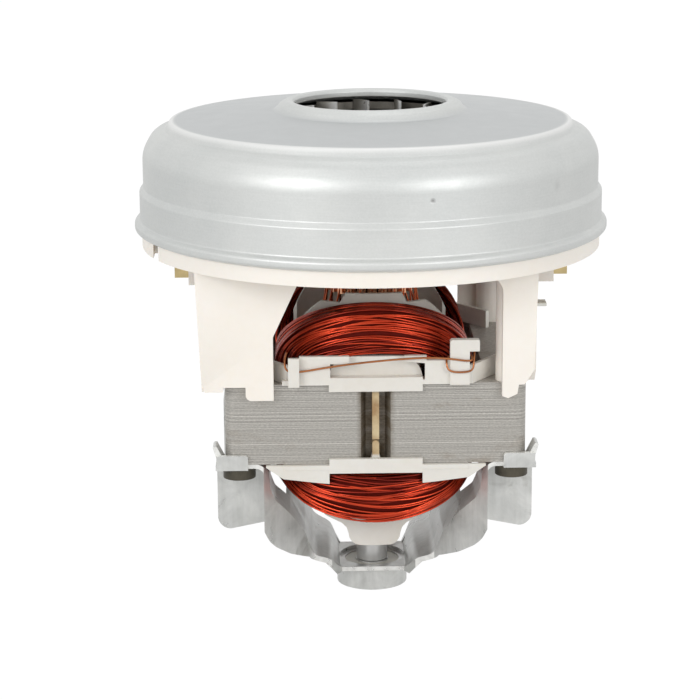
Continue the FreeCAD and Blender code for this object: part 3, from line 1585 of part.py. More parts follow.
def strip(start, middle, end, gauge):
    """The flat face of a curved sheet seen on edge."""
    camber = Part.Arc(start, middle, end).toShape().Curve
    centre, radius = camber.Center, camber.Radius
    edges = []
    rows = []
    for offset in (-gauge / 2, gauge / 2):
        rows.append([centre + (p - centre).normalize() * (radius + offset) for p in (start, middle, end)])
    edges.append(Part.Arc(*rows[0]).toShape())
    edges.append(Part.LineSegment(rows[0][2], rows[1][2]).toShape())
    edges.append(Part.Arc(*rows[1][::-1]).toShape())
    edges.append(Part.LineSegment(rows[1][0], rows[0][0]).toShape())
    return Part.Face(Part.Wire(edges))


# The whole motor

def build():
    fan_cover()
    motor_housing()
    terminal_tabs()
    diffuser()
    bearing("upper_bearing", S.upper_bearing_low, S.upper_bearing_width,
            S.upper_bearing_radius, S.upper_bearing_bore, 7)
    bearing("lower_bearing", S.cup_floor, S.bearing_width,
            S.lower_bearing_radius, S.lower_bearing_bore, 7)
    stator_core()
    clamping_screws()
    field_coils()
    for name, turn in (("front", 0), ("rear", 180)):
        upper_insulator(f"upper_insulator_{name}", turn)
        lower_insulator(f"lower_insulator_{name}", turn)
    field_leads()
    brush_gear()
    bearing_bracket()
    shaft()
    armature()
    commutator()
    impeller()


build()
doc.recompute()

problems = [item.Label for item in doc.Objects if "Invalid" in item.State or "Error" in item.State]
problems += [name for name, item in nodes.items() if item.Shape.isNull() or not item.Shape.isValid()]
if problems:
    raise RuntimeError("failed: " + ", ".join(problems))

os.makedirs("parts", exist_ok=True)
for name, item in nodes.items():
    item.Shape.exportStep(f"parts/{name}.step")
    print(name, len(item.Shape.Solids), "solid(s)", round(item.Shape.Volume), "mm3")
print(len(nodes), "nodes")
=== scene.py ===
import math

import bmesh
import bpy
import numpy as np
from mathutils import Matrix, Vector
from mathutils.geometry import tessellate_polygon


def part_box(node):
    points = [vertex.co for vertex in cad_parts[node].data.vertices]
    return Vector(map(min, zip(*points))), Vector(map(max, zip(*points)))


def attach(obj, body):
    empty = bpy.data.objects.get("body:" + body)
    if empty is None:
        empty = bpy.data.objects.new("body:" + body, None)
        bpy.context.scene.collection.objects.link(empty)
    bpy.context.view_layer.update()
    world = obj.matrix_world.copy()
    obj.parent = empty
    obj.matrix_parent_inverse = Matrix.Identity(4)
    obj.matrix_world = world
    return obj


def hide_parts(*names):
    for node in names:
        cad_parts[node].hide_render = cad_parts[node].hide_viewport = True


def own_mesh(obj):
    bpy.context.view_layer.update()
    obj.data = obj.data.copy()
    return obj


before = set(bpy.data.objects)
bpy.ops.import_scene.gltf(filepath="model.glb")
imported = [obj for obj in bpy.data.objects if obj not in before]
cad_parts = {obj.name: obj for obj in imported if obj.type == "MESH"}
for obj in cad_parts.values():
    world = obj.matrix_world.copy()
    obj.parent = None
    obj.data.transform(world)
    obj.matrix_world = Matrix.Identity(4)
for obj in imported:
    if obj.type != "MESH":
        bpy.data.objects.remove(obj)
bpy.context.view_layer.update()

# The looks of a flow-through vacuum cleaner motor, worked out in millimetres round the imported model.
# +Z runs up the shaft and -Y is the side of the front field coil.

MM = 0.001
chance = np.random.default_rng(20)


def corners_of(node):
    """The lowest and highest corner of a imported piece, in millimetres."""
    low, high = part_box(node)
    return np.array(low) / MM, np.array(high) / MM


STACK_LOW, STACK_HIGH = corners_of("stator_core")
STACK_MIDDLE = (STACK_LOW[2] + STACK_HIGH[2]) / 2


# Meshes from whole arrays

def grid_faces(rows, columns, wrap_rows=False, wrap_columns=False, start=0):
    """Quads over a grid of rows by columns points, closed on itself in a wrapped direction."""
    index = np.arange(rows * columns).reshape(rows, columns) + start
    if wrap_rows:
        index = np.vstack([index, index[:1]])
    if wrap_columns:
        index = np.hstack([index, index[:, :1]])
    return np.stack([index[:-1, :-1], index[1:, :-1], index[1:, 1:], index[:-1, 1:]], -1).reshape(-1, 4)


def piece_from(name, points, faces, finish, body="motor_frame", sharp=80.0, shade=None):
    """A finished mesh object: points in millimetres, faces as lists, smooth except at sharp edges.

    A shade from 0 to 1 for each point goes into the mesh as its strand attribute."""
    mesh = bpy.data.meshes.new(name)
    mesh.from_pydata((np.asarray(points).reshape(-1, 3) * MM).tolist(), [], faces)
    mesh.shade_smooth()
    mesh.set_sharp_from_angle(angle=math.radians(sharp))
    if shade is not None:
        mesh.attributes.new("strand", "FLOAT", "POINT").data.foreach_set(
            "value", np.asarray(shade, np.float32).ravel())
    mesh.materials.append(finish)
    made = bpy.data.objects.new(name, mesh)
    bpy.context.scene.collection.objects.link(made)
    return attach(made, body)


def revolved(profile, steps):
    """A closed profile of (radius, height) carried round the shaft.

    Its points go to (r cos a, r sin a, z) at every angle a."""
    angle = np.linspace(0, 2 * math.pi, steps, endpoint=False)[:, None]
    radius, height = profile[None, :, 0], profile[None, :, 1]
    points = np.stack([radius * np.cos(angle), radius * np.sin(angle), height + 0 * angle], -1)
    return points, grid_faces(steps, len(profile), True, True)


def rounded(corners, arc_points=7):
    """A closed outline whose corners (x, y, radius) become tangent arcs.

    Each arc starts radius * tan(turn / 2) before its corner and turns at a steady rate."""
    corners = np.array([(*c, 0.0)[:3] for c in corners], float)
    spot, fillet = corners[:, :2], corners[:, 2:]
    before, after = spot - np.roll(spot, 1, 0), np.roll(spot, -1, 0) - spot
    before_length = np.linalg.norm(before, axis=1, keepdims=True)
    after_length = np.linalg.norm(after, axis=1, keepdims=True)
    arrive, leave = before / before_length, after / after_length
    sine = arrive[:, 0] * leave[:, 1] - arrive[:, 1] * leave[:, 0]
    turn = np.arctan2(sine, (arrive * leave).sum(1))[:, None]
    half_tangent = np.abs(np.tan(turn / 2))
    reach = np.minimum(fillet * half_tangent, 0.49 * np.minimum(before_length, after_length))
    radius = reach / np.maximum(half_tangent, 1e-9)
    inward = np.stack([-arrive[:, 1], arrive[:, 0]], -1) * np.sign(turn)
    centre = spot - arrive * reach + inward * radius
    sweep = turn * np.linspace(0, 1, arc_points)[None, :]
    spoke = -inward
    x = centre[:, :1] + radius * (spoke[:, :1] * np.cos(sweep) - spoke[:, 1:] * np.sin(sweep))
    y = centre[:, 1:] + radius * (spoke[:, :1] * np.sin(sweep) + spoke[:, 1:] * np.cos(sweep))
    points = np.stack([x, y], -1)
    keep = np.ones(points.shape[:2], bool)
    keep[fillet[:, 0] == 0, 1:] = False
    return points[keep]


def tubes(paths, radius, sides, reference):
    """Round tubes with flat ends along paths of shape (wires, points, 3).

    A ring's point is path + radius * (cos a * across + sin a * over), where over is the reference
    direction made square to the path and across is square to both."""
    tangent = np.gradient(paths, axis=1)
    tangent /= np.linalg.norm(tangent, axis=-1, keepdims=True)
    reference = np.broadcast_to(np.asarray(reference, float), paths.shape)
    over = reference - (reference * tangent).sum(-1, keepdims=True) * tangent
    over /= np.linalg.norm(over, axis=-1, keepdims=True)
    across = np.cross(tangent, over)
    angle = np.linspace(0, 2 * math.pi, sides, endpoint=False)[:, None]
    rings = paths[:, :, None] + radius * (
        np.cos(angle) * across[:, :, None] + np.sin(angle) * over[:, :, None])
    wires, count = paths.shape[:2]
    faces = []
    for wire in range(wires):
        start = wire * count * sides
        last = start + (count - 1) * sides
        faces += grid_faces(count, sides, False, True, start).tolist()
        faces.append(list(range(start, start + sides)))
        faces.append(list(range(last + sides - 1, last - 1, -1)))
    return rings.reshape(-1, 3), faces


def smooth_path(points, steps):
    """A clamped cubic B-spline through its end points, with the given points as its controls."""
    control = np.array([points[0]] * 2 + list(points) + [points[-1]] * 2, float)
    spans = len(control) - 3
    position = np.linspace(0, spans, steps)
    span = np.minimum(position.astype(int), spans - 1)
    t = (position - span)[:, None]
    weights = ((1 - t) ** 3, 3 * t ** 3 - 6 * t ** 2 + 4, -3 * t ** 3 + 3 * t ** 2 + 3 * t + 1, t ** 3)
    return sum(w * control[span + k] for k, w in enumerate(weights)) / 6


def half_turned(points):
    """The same points after half a turn about the shaft."""
    return np.asarray(points) * (-1, -1, 1)


# Finishes

DING_SPOT = (14.2, -62.8, 124.6)
SCUFF_SPOT = (48.7, -42.5, 124.8)
LAMINATION = 0.5


class Finish:
    """A procedural material: one Principled shader and the patterns that feed it."""

    def __init__(self, name, colour, roughness, metallic=0.0, **sockets):
        self.material = bpy.data.materials.new(name)
        self.material.use_nodes = True
        self.tree = self.material.node_tree
        self.shader = self.tree.nodes["Principled BSDF"]
        self.shader.inputs["Base Color"].default_value = (*colour, 1)
        self.shader.inputs["Roughness"].default_value = roughness
        self.shader.inputs["Metallic"].default_value = metallic
        for socket, value in sockets.items():
            self.shader.inputs[socket.replace("_", " ")].default_value = value
        self.place = self.node("ShaderNodeTexCoord").outputs["Object"]

    def node(self, kind, **settings):
        """A new node of this kind, with its settings."""
        made = self.tree.nodes.new(kind)
        for name, value in settings.items():
            setattr(made, name, value)
        return made

    def link(self, source, target):
        """Feed a pattern into a socket."""
        self.tree.links.new(source, target)

    def stretched(self, scale):
        """Object coordinates stretched along the axes, for grain that runs one way."""
        mapping = self.node("ShaderNodeMapping")
        self.link(self.place, mapping.inputs["Vector"])
        mapping.inputs["Scale"].default_value = scale
        return mapping.outputs["Vector"]

    def noise(self, scale, detail=3.0, roughness=0.55, place=None, distortion=0.0):
        """Cloudy noise; scale is in lumps per metre."""
        texture = self.node("ShaderNodeTexNoise")
        self.link(place or self.place, texture.inputs["Vector"])
        texture.inputs["Scale"].default_value = scale
        texture.inputs["Detail"].default_value = detail
        texture.inputs["Roughness"].default_value = roughness
        texture.inputs["Distortion"].default_value = distortion
        return texture.outputs["Fac"]

    def ramp(self, value, *stops):
        """A gradient of (position, grey or colour) stops."""
        made = self.node("ShaderNodeValToRGB")
        self.link(value, made.inputs["Fac"])
        elements = made.color_ramp.elements
        while len(elements) < len(stops):
            elements.new(0.5)
        for element, (position, tone) in zip(elements, stops):
            element.position = position
            element.color = (*tone, 1) if isinstance(tone, tuple) else (tone, tone, tone, 1)
        return made.outputs["Color"]

    def mixed(self, factor, first, second, kind="MIX"):
        """Blend two colours; a tuple is a plain colour and anything else is a pattern."""
        made = self.node("ShaderNodeMix", data_type="RGBA", blend_type=kind)
        for socket, value in zip((made.inputs[0], made.inputs[6], made.inputs[7]), (factor, first, second)):
            if isinstance(value, tuple):
                socket.default_value = (*value, 1)
            elif isinstance(value, float):
                socket.default_value = value
            else:
                self.link(value, socket)
        return made.outputs[2]

    def worked(self, first, second, operation):
        """Two numbers or patterns through one operation."""
        made = self.node("ShaderNodeMath", operation=operation)
        for socket, value in zip(made.inputs, (first, second)):
            if isinstance(value, float):
                socket.default_value = value
            else:
                self.link(value, socket)
        return made.outputs[0]

    def times(self, first, second):
        """The product of two numbers or patterns."""
        return self.worked(first, second, "MULTIPLY")

    def axis(self, name):
        """One Object coordinate, in metres."""
        made = self.node("ShaderNodeSeparateXYZ")
        self.link(self.place, made.inputs[0])
        return made.outputs[name]

    def round_shaft(self, *stops):
        """A gradient by the distance from the shaft's axis, as (millimetres, grey or colour) stops."""
        widest = 80.0
        flat = self.node("ShaderNodeVectorMath", operation="MULTIPLY")
        self.link(self.place, flat.inputs[0])
        flat.inputs[1].default_value = (1.0, 1.0, 0.0)
        out = self.node("ShaderNodeVectorMath", operation="LENGTH")
        self.link(flat.outputs[0], out.inputs[0])
        share = self.worked(out.outputs["Value"], widest * MM, "DIVIDE")
        return self.ramp(share, *((radius / widest, tone) for radius, tone in stops))

    def within(self, name, middle, inside, outside):
        """1 where a coordinate is less than inside millimetres from the middle, 0 from outside on."""
        away = self.worked(self.worked(self.axis(name), middle * MM, "SUBTRACT"), 0.0, "ABSOLUTE")
        return self.ramp(self.worked(away, outside * MM, "DIVIDE"), (inside / outside, 1.0), (1.0, 0.0))

    def near(self, spot, reach):
        """1 at a spot of the surface, falling to 0 at reach millimetres from it."""
        away = self.node("ShaderNodeVectorMath", operation="DISTANCE")
        self.link(self.place, away.inputs[0])
        away.inputs[1].default_value = np.array(spot) * MM
        share = self.worked(away.outputs["Value"], reach * MM, "DIVIDE")
        return self.ramp(share, (0.0, 1.0), (1.0, 0.0))

    def colour(self, pattern):
        """The pattern gives the surface its colour."""
        self.link(pattern, self.shader.inputs["Base Color"])

    def dull(self, pattern):
        """The pattern gives the surface its roughness."""
        self.link(pattern, self.shader.inputs["Roughness"])

    def bump(self, height, depth, strength=1.0, below=None):
        """Relief whose full height is depth millimetres."""
        made = self.node("ShaderNodeBump")
        made.inputs["Strength"].default_value = strength
        made.inputs["Distance"].default_value = depth * MM
        self.link(height, made.inputs["Height"])
        if below is not None:
            self.link(below, made.inputs["Normal"])
        self.link(made.outputs["Normal"], self.shader.inputs["Normal"])
        return made.outputs["Normal"]


def satin_cover():
    """Bright galvanised sheet: faint clouds, fine drawing grain round the wall, one ding and a scuff.

    The dish round the inlet is painted darker, a painted reflection of a darker surround, and the ridge at
    its edge carries a painted highlight."""
    finish = Finish("satin_cover", (0.62, 0.63, 0.63), 0.4, 0.62)
    clouds = finish.noise(38, 4)
    grain = finish.noise(2600, 2, 0.5, finish.stretched((0.05, 0.05, 1.0)))
    tone = finish.ramp(clouds, (0.3, (0.595, 0.61, 0.6)), (0.7, (0.645, 0.655, 0.64)))
    tone = finish.mixed(0.025, tone, finish.ramp(grain, (0.35, 0.1), (0.65, 0.9)), "OVERLAY")
    speckle = finish.ramp(finish.noise(1700, 2, 0.6), (0.35, 0.35), (0.65, 0.65))
    tone = finish.mixed(0.12, tone, speckle, "OVERLAY")
    # Painted shade: the dish round the inlet is darkened, standing in for the darker surround that it
    # reflects.
    dish = finish.round_shaft((26.0, 0.0), (27.6, 1.0), (54.8, 1.0), (56.0, 0.0))
    tone = finish.mixed(finish.times(dish, 0.8), tone, (0.49, 0.505, 0.51))
    # Painted highlight: a bright ring along the ridge at the dish's edge, where the light catches it.
    ridge_highlight = finish.round_shaft((55.2, 0.0), (56.0, 1.0), (56.64, 1.0), (57.28, 0.0))
    tone = finish.mixed(finish.times(ridge_highlight, 0.7), tone, (0.85, 0.85, 0.84))
    ding = finish.near(DING_SPOT, 0.85)
    scuff = finish.near(SCUFF_SPOT, 1.9)
    marks = finish.worked(finish.times(ding, 0.75), finish.times(scuff, 0.16), "MAXIMUM")
    finish.colour(finish.mixed(marks, tone, (0.16, 0.15, 0.15)))
    finish.dull(finish.ramp(finish.noise(160, 3), (0.3, 0.42), (0.75, 0.52)))
    spots = finish.noise(900, 2)
    low = finish.bump(spots, 0.012, 0.5)
    finish.bump(finish.worked(1.0, ding, "SUBTRACT"), 0.12, 1.0, low)
    return finish.material


def galvanised_bracket():
    """Zinc-coated pressing: grey blotches, streaks that run down it and patches of dried oil."""
    finish = Finish("galvanised_bracket", (0.55, 0.55, 0.53), 0.4, 0.5)
    blotches = finish.noise(120, 5, 0.6, None, 0.6)
    tone = finish.ramp(blotches, (0.25, (0.49, 0.495, 0.48)), (0.5, (0.62, 0.625, 0.605)),
                       (0.75, (0.76, 0.765, 0.74)))
    streaks = finish.noise(420, 3, 0.6, finish.stretched((1.0, 1.0, 0.12)))
    tone = finish.mixed(0.16, tone, finish.ramp(streaks, (0.35, 0.22), (0.65, 0.8)), "OVERLAY")
    oil = finish.ramp(finish.noise(75, 4, 0.6, None, 0.9), (0.6, 0.0), (0.72, 0.45))
    tone = finish.mixed(oil, tone, (0.2, 0.185, 0.15))
    finish.colour(tone)
    finish.dull(finish.ramp(blotches, (0.3, 0.26), (0.7, 0.44)))
    finish.bump(finish.noise(700, 3), 0.05, 0.5)
    return finish.material


def moulded(name, colour, warm, roughness, notch_shaded=False):
    """Moulded plastic: a little warmer in clouds, with a fine eroded skin.

    With the flag set, the rib that lies in the stack's notch is tan and brown with painted shade, the shade
    of the deep notch round it."""
    finish = Finish(name, colour, roughness, Subsurface_Weight=0.08,
                    Subsurface_Radius=(0.004, 0.003, 0.002))
    clouds = finish.noise(45, 4)
    specks = finish.noise(520, 2, 0.5)
    tone = finish.ramp(clouds, (0.3, colour), (0.75, warm))
    if notch_shaded:
        # Painted shade: the rib in the stack's notch turns tan and brown, for the shade of the notch's deep
        # walls.
        across = finish.within("X", 0.0, 2.2, 2.8)
        along = finish.within("Z", STACK_MIDDLE, 8.6, 9.4)
        notch_shade = finish.ramp(finish.noise(150, 4), (0.35, (0.62, 0.5, 0.3)), (0.65, (0.36, 0.22, 0.1)))
        tone = finish.mixed(finish.times(across, along), tone, notch_shade)
    finish.colour(finish.mixed(0.05, tone, finish.ramp(specks, (0.35, 0.2), (0.6, 0.8)), "OVERLAY"))
    finish.dull(finish.ramp(specks, (0.3, roughness - 0.06), (0.7, roughness + 0.08)))
    finish.bump(finish.noise(1500, 2), 0.02, 0.6)
    return finish.material


def laminated_steel():
    """Sheared sheet edges: every lamination its own grey, with brown oil stains, and a notch darkened by
    rust and by painted shade.
    """
    finish = Finish("laminated_steel", (0.5, 0.48, 0.45), 0.42, 0.35)
    height = finish.node("ShaderNodeCombineXYZ")
    finish.link(finish.axis("Z"), height.inputs["Z"])
    sheets = finish.noise(1.0 / (LAMINATION * MM), 1, 0.5, height.outputs[0])
    tone = finish.ramp(sheets, (0.35, (0.33, 0.315, 0.29)), (0.65, (0.55, 0.53, 0.49)))
    smears = finish.noise(60, 5, 0.6, finish.stretched((1.0, 1.0, 1.6)), 1.2)
    stain = finish.ramp(smears, (0.56, 0.0), (0.74, 0.45))
    tone = finish.mixed(stain, tone, (0.26, 0.2, 0.14))
    # Rust and painted shade: the notch darkens to a blackish brown, partly rust and partly the shade of its
    # deep walls.
    notch = finish.within("X", 0.0, 3.5, 5.46)
    notch_rust_and_shade = finish.times(notch, finish.ramp(smears, (0.3, 0.35), (0.6, 0.95)))
    tone = finish.mixed(notch_rust_and_shade, tone, (0.11, 0.075, 0.035))
    flecks = finish.noise(1400, 2, 0.6, finish.stretched((1.0, 1.0, 3.0)))
    finish.colour(finish.mixed(0.3, tone, finish.ramp(flecks, (0.4, 0.3), (0.62, 0.7)), "OVERLAY"))
    finish.dull(finish.ramp(smears, (0.3, 0.36), (0.7, 0.55)))
    finish.bump(flecks, 0.03, 0.6)
    return finish.material


def enamelled_wire(name, dark, bright, roughness=0.24):
    """Copper wire under red-brown enamel, each strand a little lighter or darker."""
    finish = Finish(name, bright, roughness, 0.85, Coat_Weight=0.14, Coat_Roughness=0.1)
    strand = finish.node("ShaderNodeAttribute", attribute_name="strand").outputs["Fac"]
    tone = finish.ramp(strand, (0.0, dark), (1.0, bright))
    patches = finish.noise(90, 3)
    finish.colour(finish.mixed(0.35, tone, finish.ramp(patches, (0.3, 0.2), (0.7, 0.75)), "OVERLAY"))
    finish.dull(finish.ramp(finish.noise(240, 2), (0.3, roughness - 0.06), (0.7, roughness + 0.1)))
    return finish.material


def metal(name, colour, roughness, metallic=1.0, spread=0.12, scale=180.0, depth=0.02):
    """Plain metal with a mottled tone, an uneven polish and a slight texture."""
    finish = Finish(name, colour, roughness, metallic)
    mottle = finish.noise(scale, 4)
    low = tuple(max(c * (1 - spread), 0.0) for c in colour)
    high = tuple(min(c * (1 + spread), 1.0) for c in colour)
    finish.colour(finish.ramp(mottle, (0.3, low), (0.7, high)))
    finish.dull(finish.ramp(mottle, (0.3, roughness * 0.8), (0.7, min(roughness * 1.3, 1.0))))
    finish.bump(finish.noise(scale * 7, 2), depth, 0.5)
    return finish.material


def fan_sheet():
    """Aluminium sheet with painted light and shade by radius: bright round the eye, nearly black further
    out, under random dusty patches.
    """
    finish = Finish("fan_sheet", (0.7, 0.7, 0.69), 0.3, 0.7)
    # Painted highlight and painted shade: light on the blades' inner edges near the eye, and the shade deep
    # between the blades further out.
    tone = finish.round_shaft((18.0, (0.85, 0.85, 0.84)), (21.0, (0.4, 0.38, 0.34)),
                              (25.2, (0.1, 0.09, 0.075)))
    dust = finish.noise(170, 4)
    finish.colour(finish.mixed(0.3, tone, finish.ramp(dust, (0.35, 0.25), (0.65, 0.75)), "OVERLAY"))
    finish.dull(finish.ramp(dust, (0.3, 0.26), (0.7, 0.44)))
    finish.bump(finish.noise(630, 2), 0.02, 0.5)
    return finish.material


COVER = satin_cover()
BRACKET = galvanised_bracket()
CREAM = moulded("cream_moulding", (0.93, 0.885, 0.82), (0.9, 0.845, 0.765), 0.48)
# The spools' white is drawn darker and warmer than the plastic: painted shade, with painted cream bounce
# light from the housing.
WHITE = moulded("white_moulding", (0.77, 0.75, 0.7), (0.73, 0.695, 0.625), 0.42, notch_shaded=True)
GREY = moulded("grey_moulding", (0.16, 0.16, 0.17), (0.12, 0.12, 0.13), 0.55)
BROWN = moulded("brown_moulding", (0.16, 0.07, 0.04), (0.12, 0.05, 0.03), 0.35)
BOARD = moulded("pressed_board", (0.42, 0.3, 0.19), (0.36, 0.25, 0.15), 0.7)
RUBBER = moulded("seal_rubber", (0.035, 0.035, 0.04), (0.05, 0.05, 0.05), 0.6)
CARBON = moulded("pressed_carbon", (0.04, 0.04, 0.045), (0.06, 0.06, 0.06), 0.62)
STACK = laminated_steel()
COIL_WIRE = enamelled_wire("coil_enamel", (0.15, 0.004, 0.002), (0.63, 0.062, 0.018), 0.17)
# Painted shade: the bodies under the coil strands and the armature wires are much darker than the wire, for
# the shade between the strands.
COIL_CORE_SHADE = metal("coil_core_painted_shade", (0.13, 0.008, 0.004), 0.7, 0.85, 0.3, 300)
ARMATURE_WIRE = enamelled_wire("armature_enamel", (0.24, 0.03, 0.01), (0.6, 0.13, 0.04))
LEAD_WIRE = enamelled_wire("lead_enamel", (0.3, 0.1, 0.035), (0.5, 0.2, 0.08), 0.3)
COPPER = metal("turned_copper", (0.8, 0.44, 0.27), 0.25, 1.0, 0.12, 300)
BRASS = metal("drawn_brass", (0.58, 0.46, 0.24), 0.34, 1.0, 0.2, 160)
SHIELD = metal("zinc_shield", (0.8, 0.8, 0.73), 0.5, 0.2, 0.12, 140)
# Painted highlight: a bright finish for the cut edges and rounded edges of the bracket, where the light
# catches them.
EDGE_HIGHLIGHT = metal("edge_painted_highlight", (0.82, 0.82, 0.79), 0.3, 0.55, 0.16, 420)
TINNED = metal("tinned_tab", (0.66, 0.65, 0.6), 0.32)
SPRING = metal("spring_wire", (0.5, 0.5, 0.5), 0.3)
OILED = metal("oiled_screw", (0.07, 0.062, 0.045), 0.45, 0.55, 0.35, 260, 0.04)
GROUND = metal("ground_steel", (0.74, 0.74, 0.73), 0.34, 0.5, 0.06, 220, 0.01)
ALUMINIUM = fan_sheet()
ZINC = metal("zinc_nut", (0.6, 0.58, 0.5), 0.3)


# Fan cover

def fan_cover():
    """The pressed cover as one revolved wall.

    Outside: rolled lip, sloping dish, a low ridge and a step at its edge, the round shoulder, the wall, a
    second ridge, the band and the rolled bead. Inside: the same line one sheet further in."""
    low, high = corners_of("fan_cover")
    top, foot = high[2], low[2]
    bead_radius = high[0]
    band = bead_radius - 1.5
    wall = band - 1.1
    sheet = 0.9
    lip_under, lip_foot, dish, step = top - 2.2, top - 2.8, top - 5.1, top - 7.3
    slope, shoulder, ridge = step - 1.2, step - 6.4, top - 23.4
    eye, dish_edge = 21.5, 54.4
    outline = rounded([
        (eye, top - 0.9, 0.4),
        (21.9, top - 0.15, 0.5),
        (23.6, top, 1.5),
        (25.6, top - 1.0, 2.6),
        (26.9, lip_foot, 2.2),
        (dish_edge, dish, 1.5),
        (56.5, dish - 0.2, 0.9),
        (57.7, step, 1.0),
        (61.4, slope, 5.0),
        (wall, shoulder, 9.0),
        (wall, ridge, 0.7),
        (band, ridge - 1.5, 0.8),
        (band, foot + 3.5, 0.7),
        (bead_radius, foot + 2.6, 1.0),
        (bead_radius, foot + 0.75, 0.8),
        (band - 0.1, foot, 0.6),
        (band - sheet, foot, 0.2),
        (band - sheet, ridge - 1.1, 0.4),
        (wall - sheet, ridge + 0.4, 0.4),
        (wall - sheet, shoulder - 0.2, 8.1),
        (61.0, slope - sheet, 4.1),
        (56.9, step - sheet, 0.5),
        (55.8, dish - sheet - 0.2, 0.5),
        (dish_edge, dish - sheet, 0.5),
        (26.4, lip_foot - sheet, 1.4),
        (25.0, top - 1.8, 1.4),
        (23.2, top - 1.5, 0.6),
        (22.4, lip_under, 0.25),
        (eye, lip_under, 0.25),
    ], 9)
    points, faces = revolved(outline, 256)
    made = piece_from("cover_pressing", points, faces[:, ::-1].tolist(), COVER, sharp=50)
    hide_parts("fan_cover")


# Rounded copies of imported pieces

def rounded_copy(node, name, finish, width, sheet=None):
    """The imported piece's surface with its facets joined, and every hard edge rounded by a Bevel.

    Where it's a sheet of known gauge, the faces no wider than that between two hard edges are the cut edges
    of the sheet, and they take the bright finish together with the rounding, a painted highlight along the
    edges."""
    sharp, cut_edge, flat = math.radians(32), math.radians(50), math.radians(0.4)
    seam = 0.002 * MM
    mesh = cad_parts[node].data.copy()
    mesh.name = name
    mesh.materials.clear()
    mesh.materials.append(finish)
    work = bmesh.new()
    work.from_mesh(mesh)
    bmesh.ops.remove_doubles(work, verts=work.verts, dist=seam)
    bmesh.ops.dissolve_limit(work, angle_limit=flat, verts=work.verts, edges=work.edges)
    if sheet:
        mesh.materials.append(EDGE_HIGHLIGHT)
        widest = 1.3 * sheet * MM
        for face in work.faces:
            hard = sum(edge.calc_length() for edge in face.edges if edge.calc_face_angle(0.0) > cut_edge)
            face.material_index = int(hard > 0 and 2 * face.calc_area() / hard < widest)
    work.to_mesh(mesh)
    work.free()
    mesh.shade_smooth()
    mesh.set_sharp_from_angle(angle=sharp)
    made = bpy.data.objects.new(name, mesh)
    bpy.context.scene.collection.objects.link(made)
    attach(made, "motor_frame")
    bevel = made.modifiers.new("edges", "BEVEL")
    # The rounded faces of every hard edge take the bright finish, a painted highlight.
    bevel.material = 1 if sheet else -1
    bevel.width = width * MM
    bevel.segments = 2
    bevel.limit_method = "ANGLE"
    bevel.angle_limit = sharp
    bevel.use_clamp_overlap = True
    bevel.harden_normals = True
    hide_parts(node)


# Stator stack

def stack_outlines():
    """The lamination's outer outline, its inner opening and one screw hole, as (x, y) points.

    The outer outline is its right side and one notch, and the same again after half a turn. The inner
    opening is one quarter, from the pole's middle round shoe, neck and window, reflected."""
    wide, deep, fillet = STACK_HIGH[0], STACK_HIGH[1], 3.0
    mouth, step, floor, bottom = 4.0, 1.2, 2.8, deep - 4.6
    half = [
        (wide, -deep, fillet), (wide, deep, fillet),
        (mouth, deep, 0.3), (mouth, deep - step, 0.3), (floor, bottom, 0.4),
        (-floor, bottom, 0.4), (-mouth, deep - step, 0.3), (-mouth, deep, 0.3)]
    outer = rounded(half + [(-x, -y, radius) for x, y, radius in half])
    bore_radius, shoe_radius, screw_radius = 22.6, 27.0, 2.2
    neck, window, window_fillet = (12.8, 34.9), (26.6, 30.9), 4.0
    bore = np.radians(np.linspace(90, 28, 22))
    shoe = np.radians(np.linspace(28, 61.7, 12))
    corner = np.radians(np.linspace(90, 0, 7))
    quarter = np.concatenate([
        bore_radius * np.stack([np.cos(bore), np.sin(bore)], -1),
        shoe_radius * np.stack([np.cos(shoe), np.sin(shoe)], -1),
        [neck],
        window + window_fillet * np.stack([np.cos(corner), np.sin(corner)], -1)])
    right = np.concatenate([quarter, quarter[::-1] * (1, -1)])
    inner = np.concatenate([right[:-1], right[::-1][:-1] * (-1, 1)])
    angle = np.linspace(0, 2 * math.pi, 20, endpoint=False)
    hole = screw_radius * np.stack([np.cos(angle), np.sin(angle)], -1)
    return outer, inner, hole


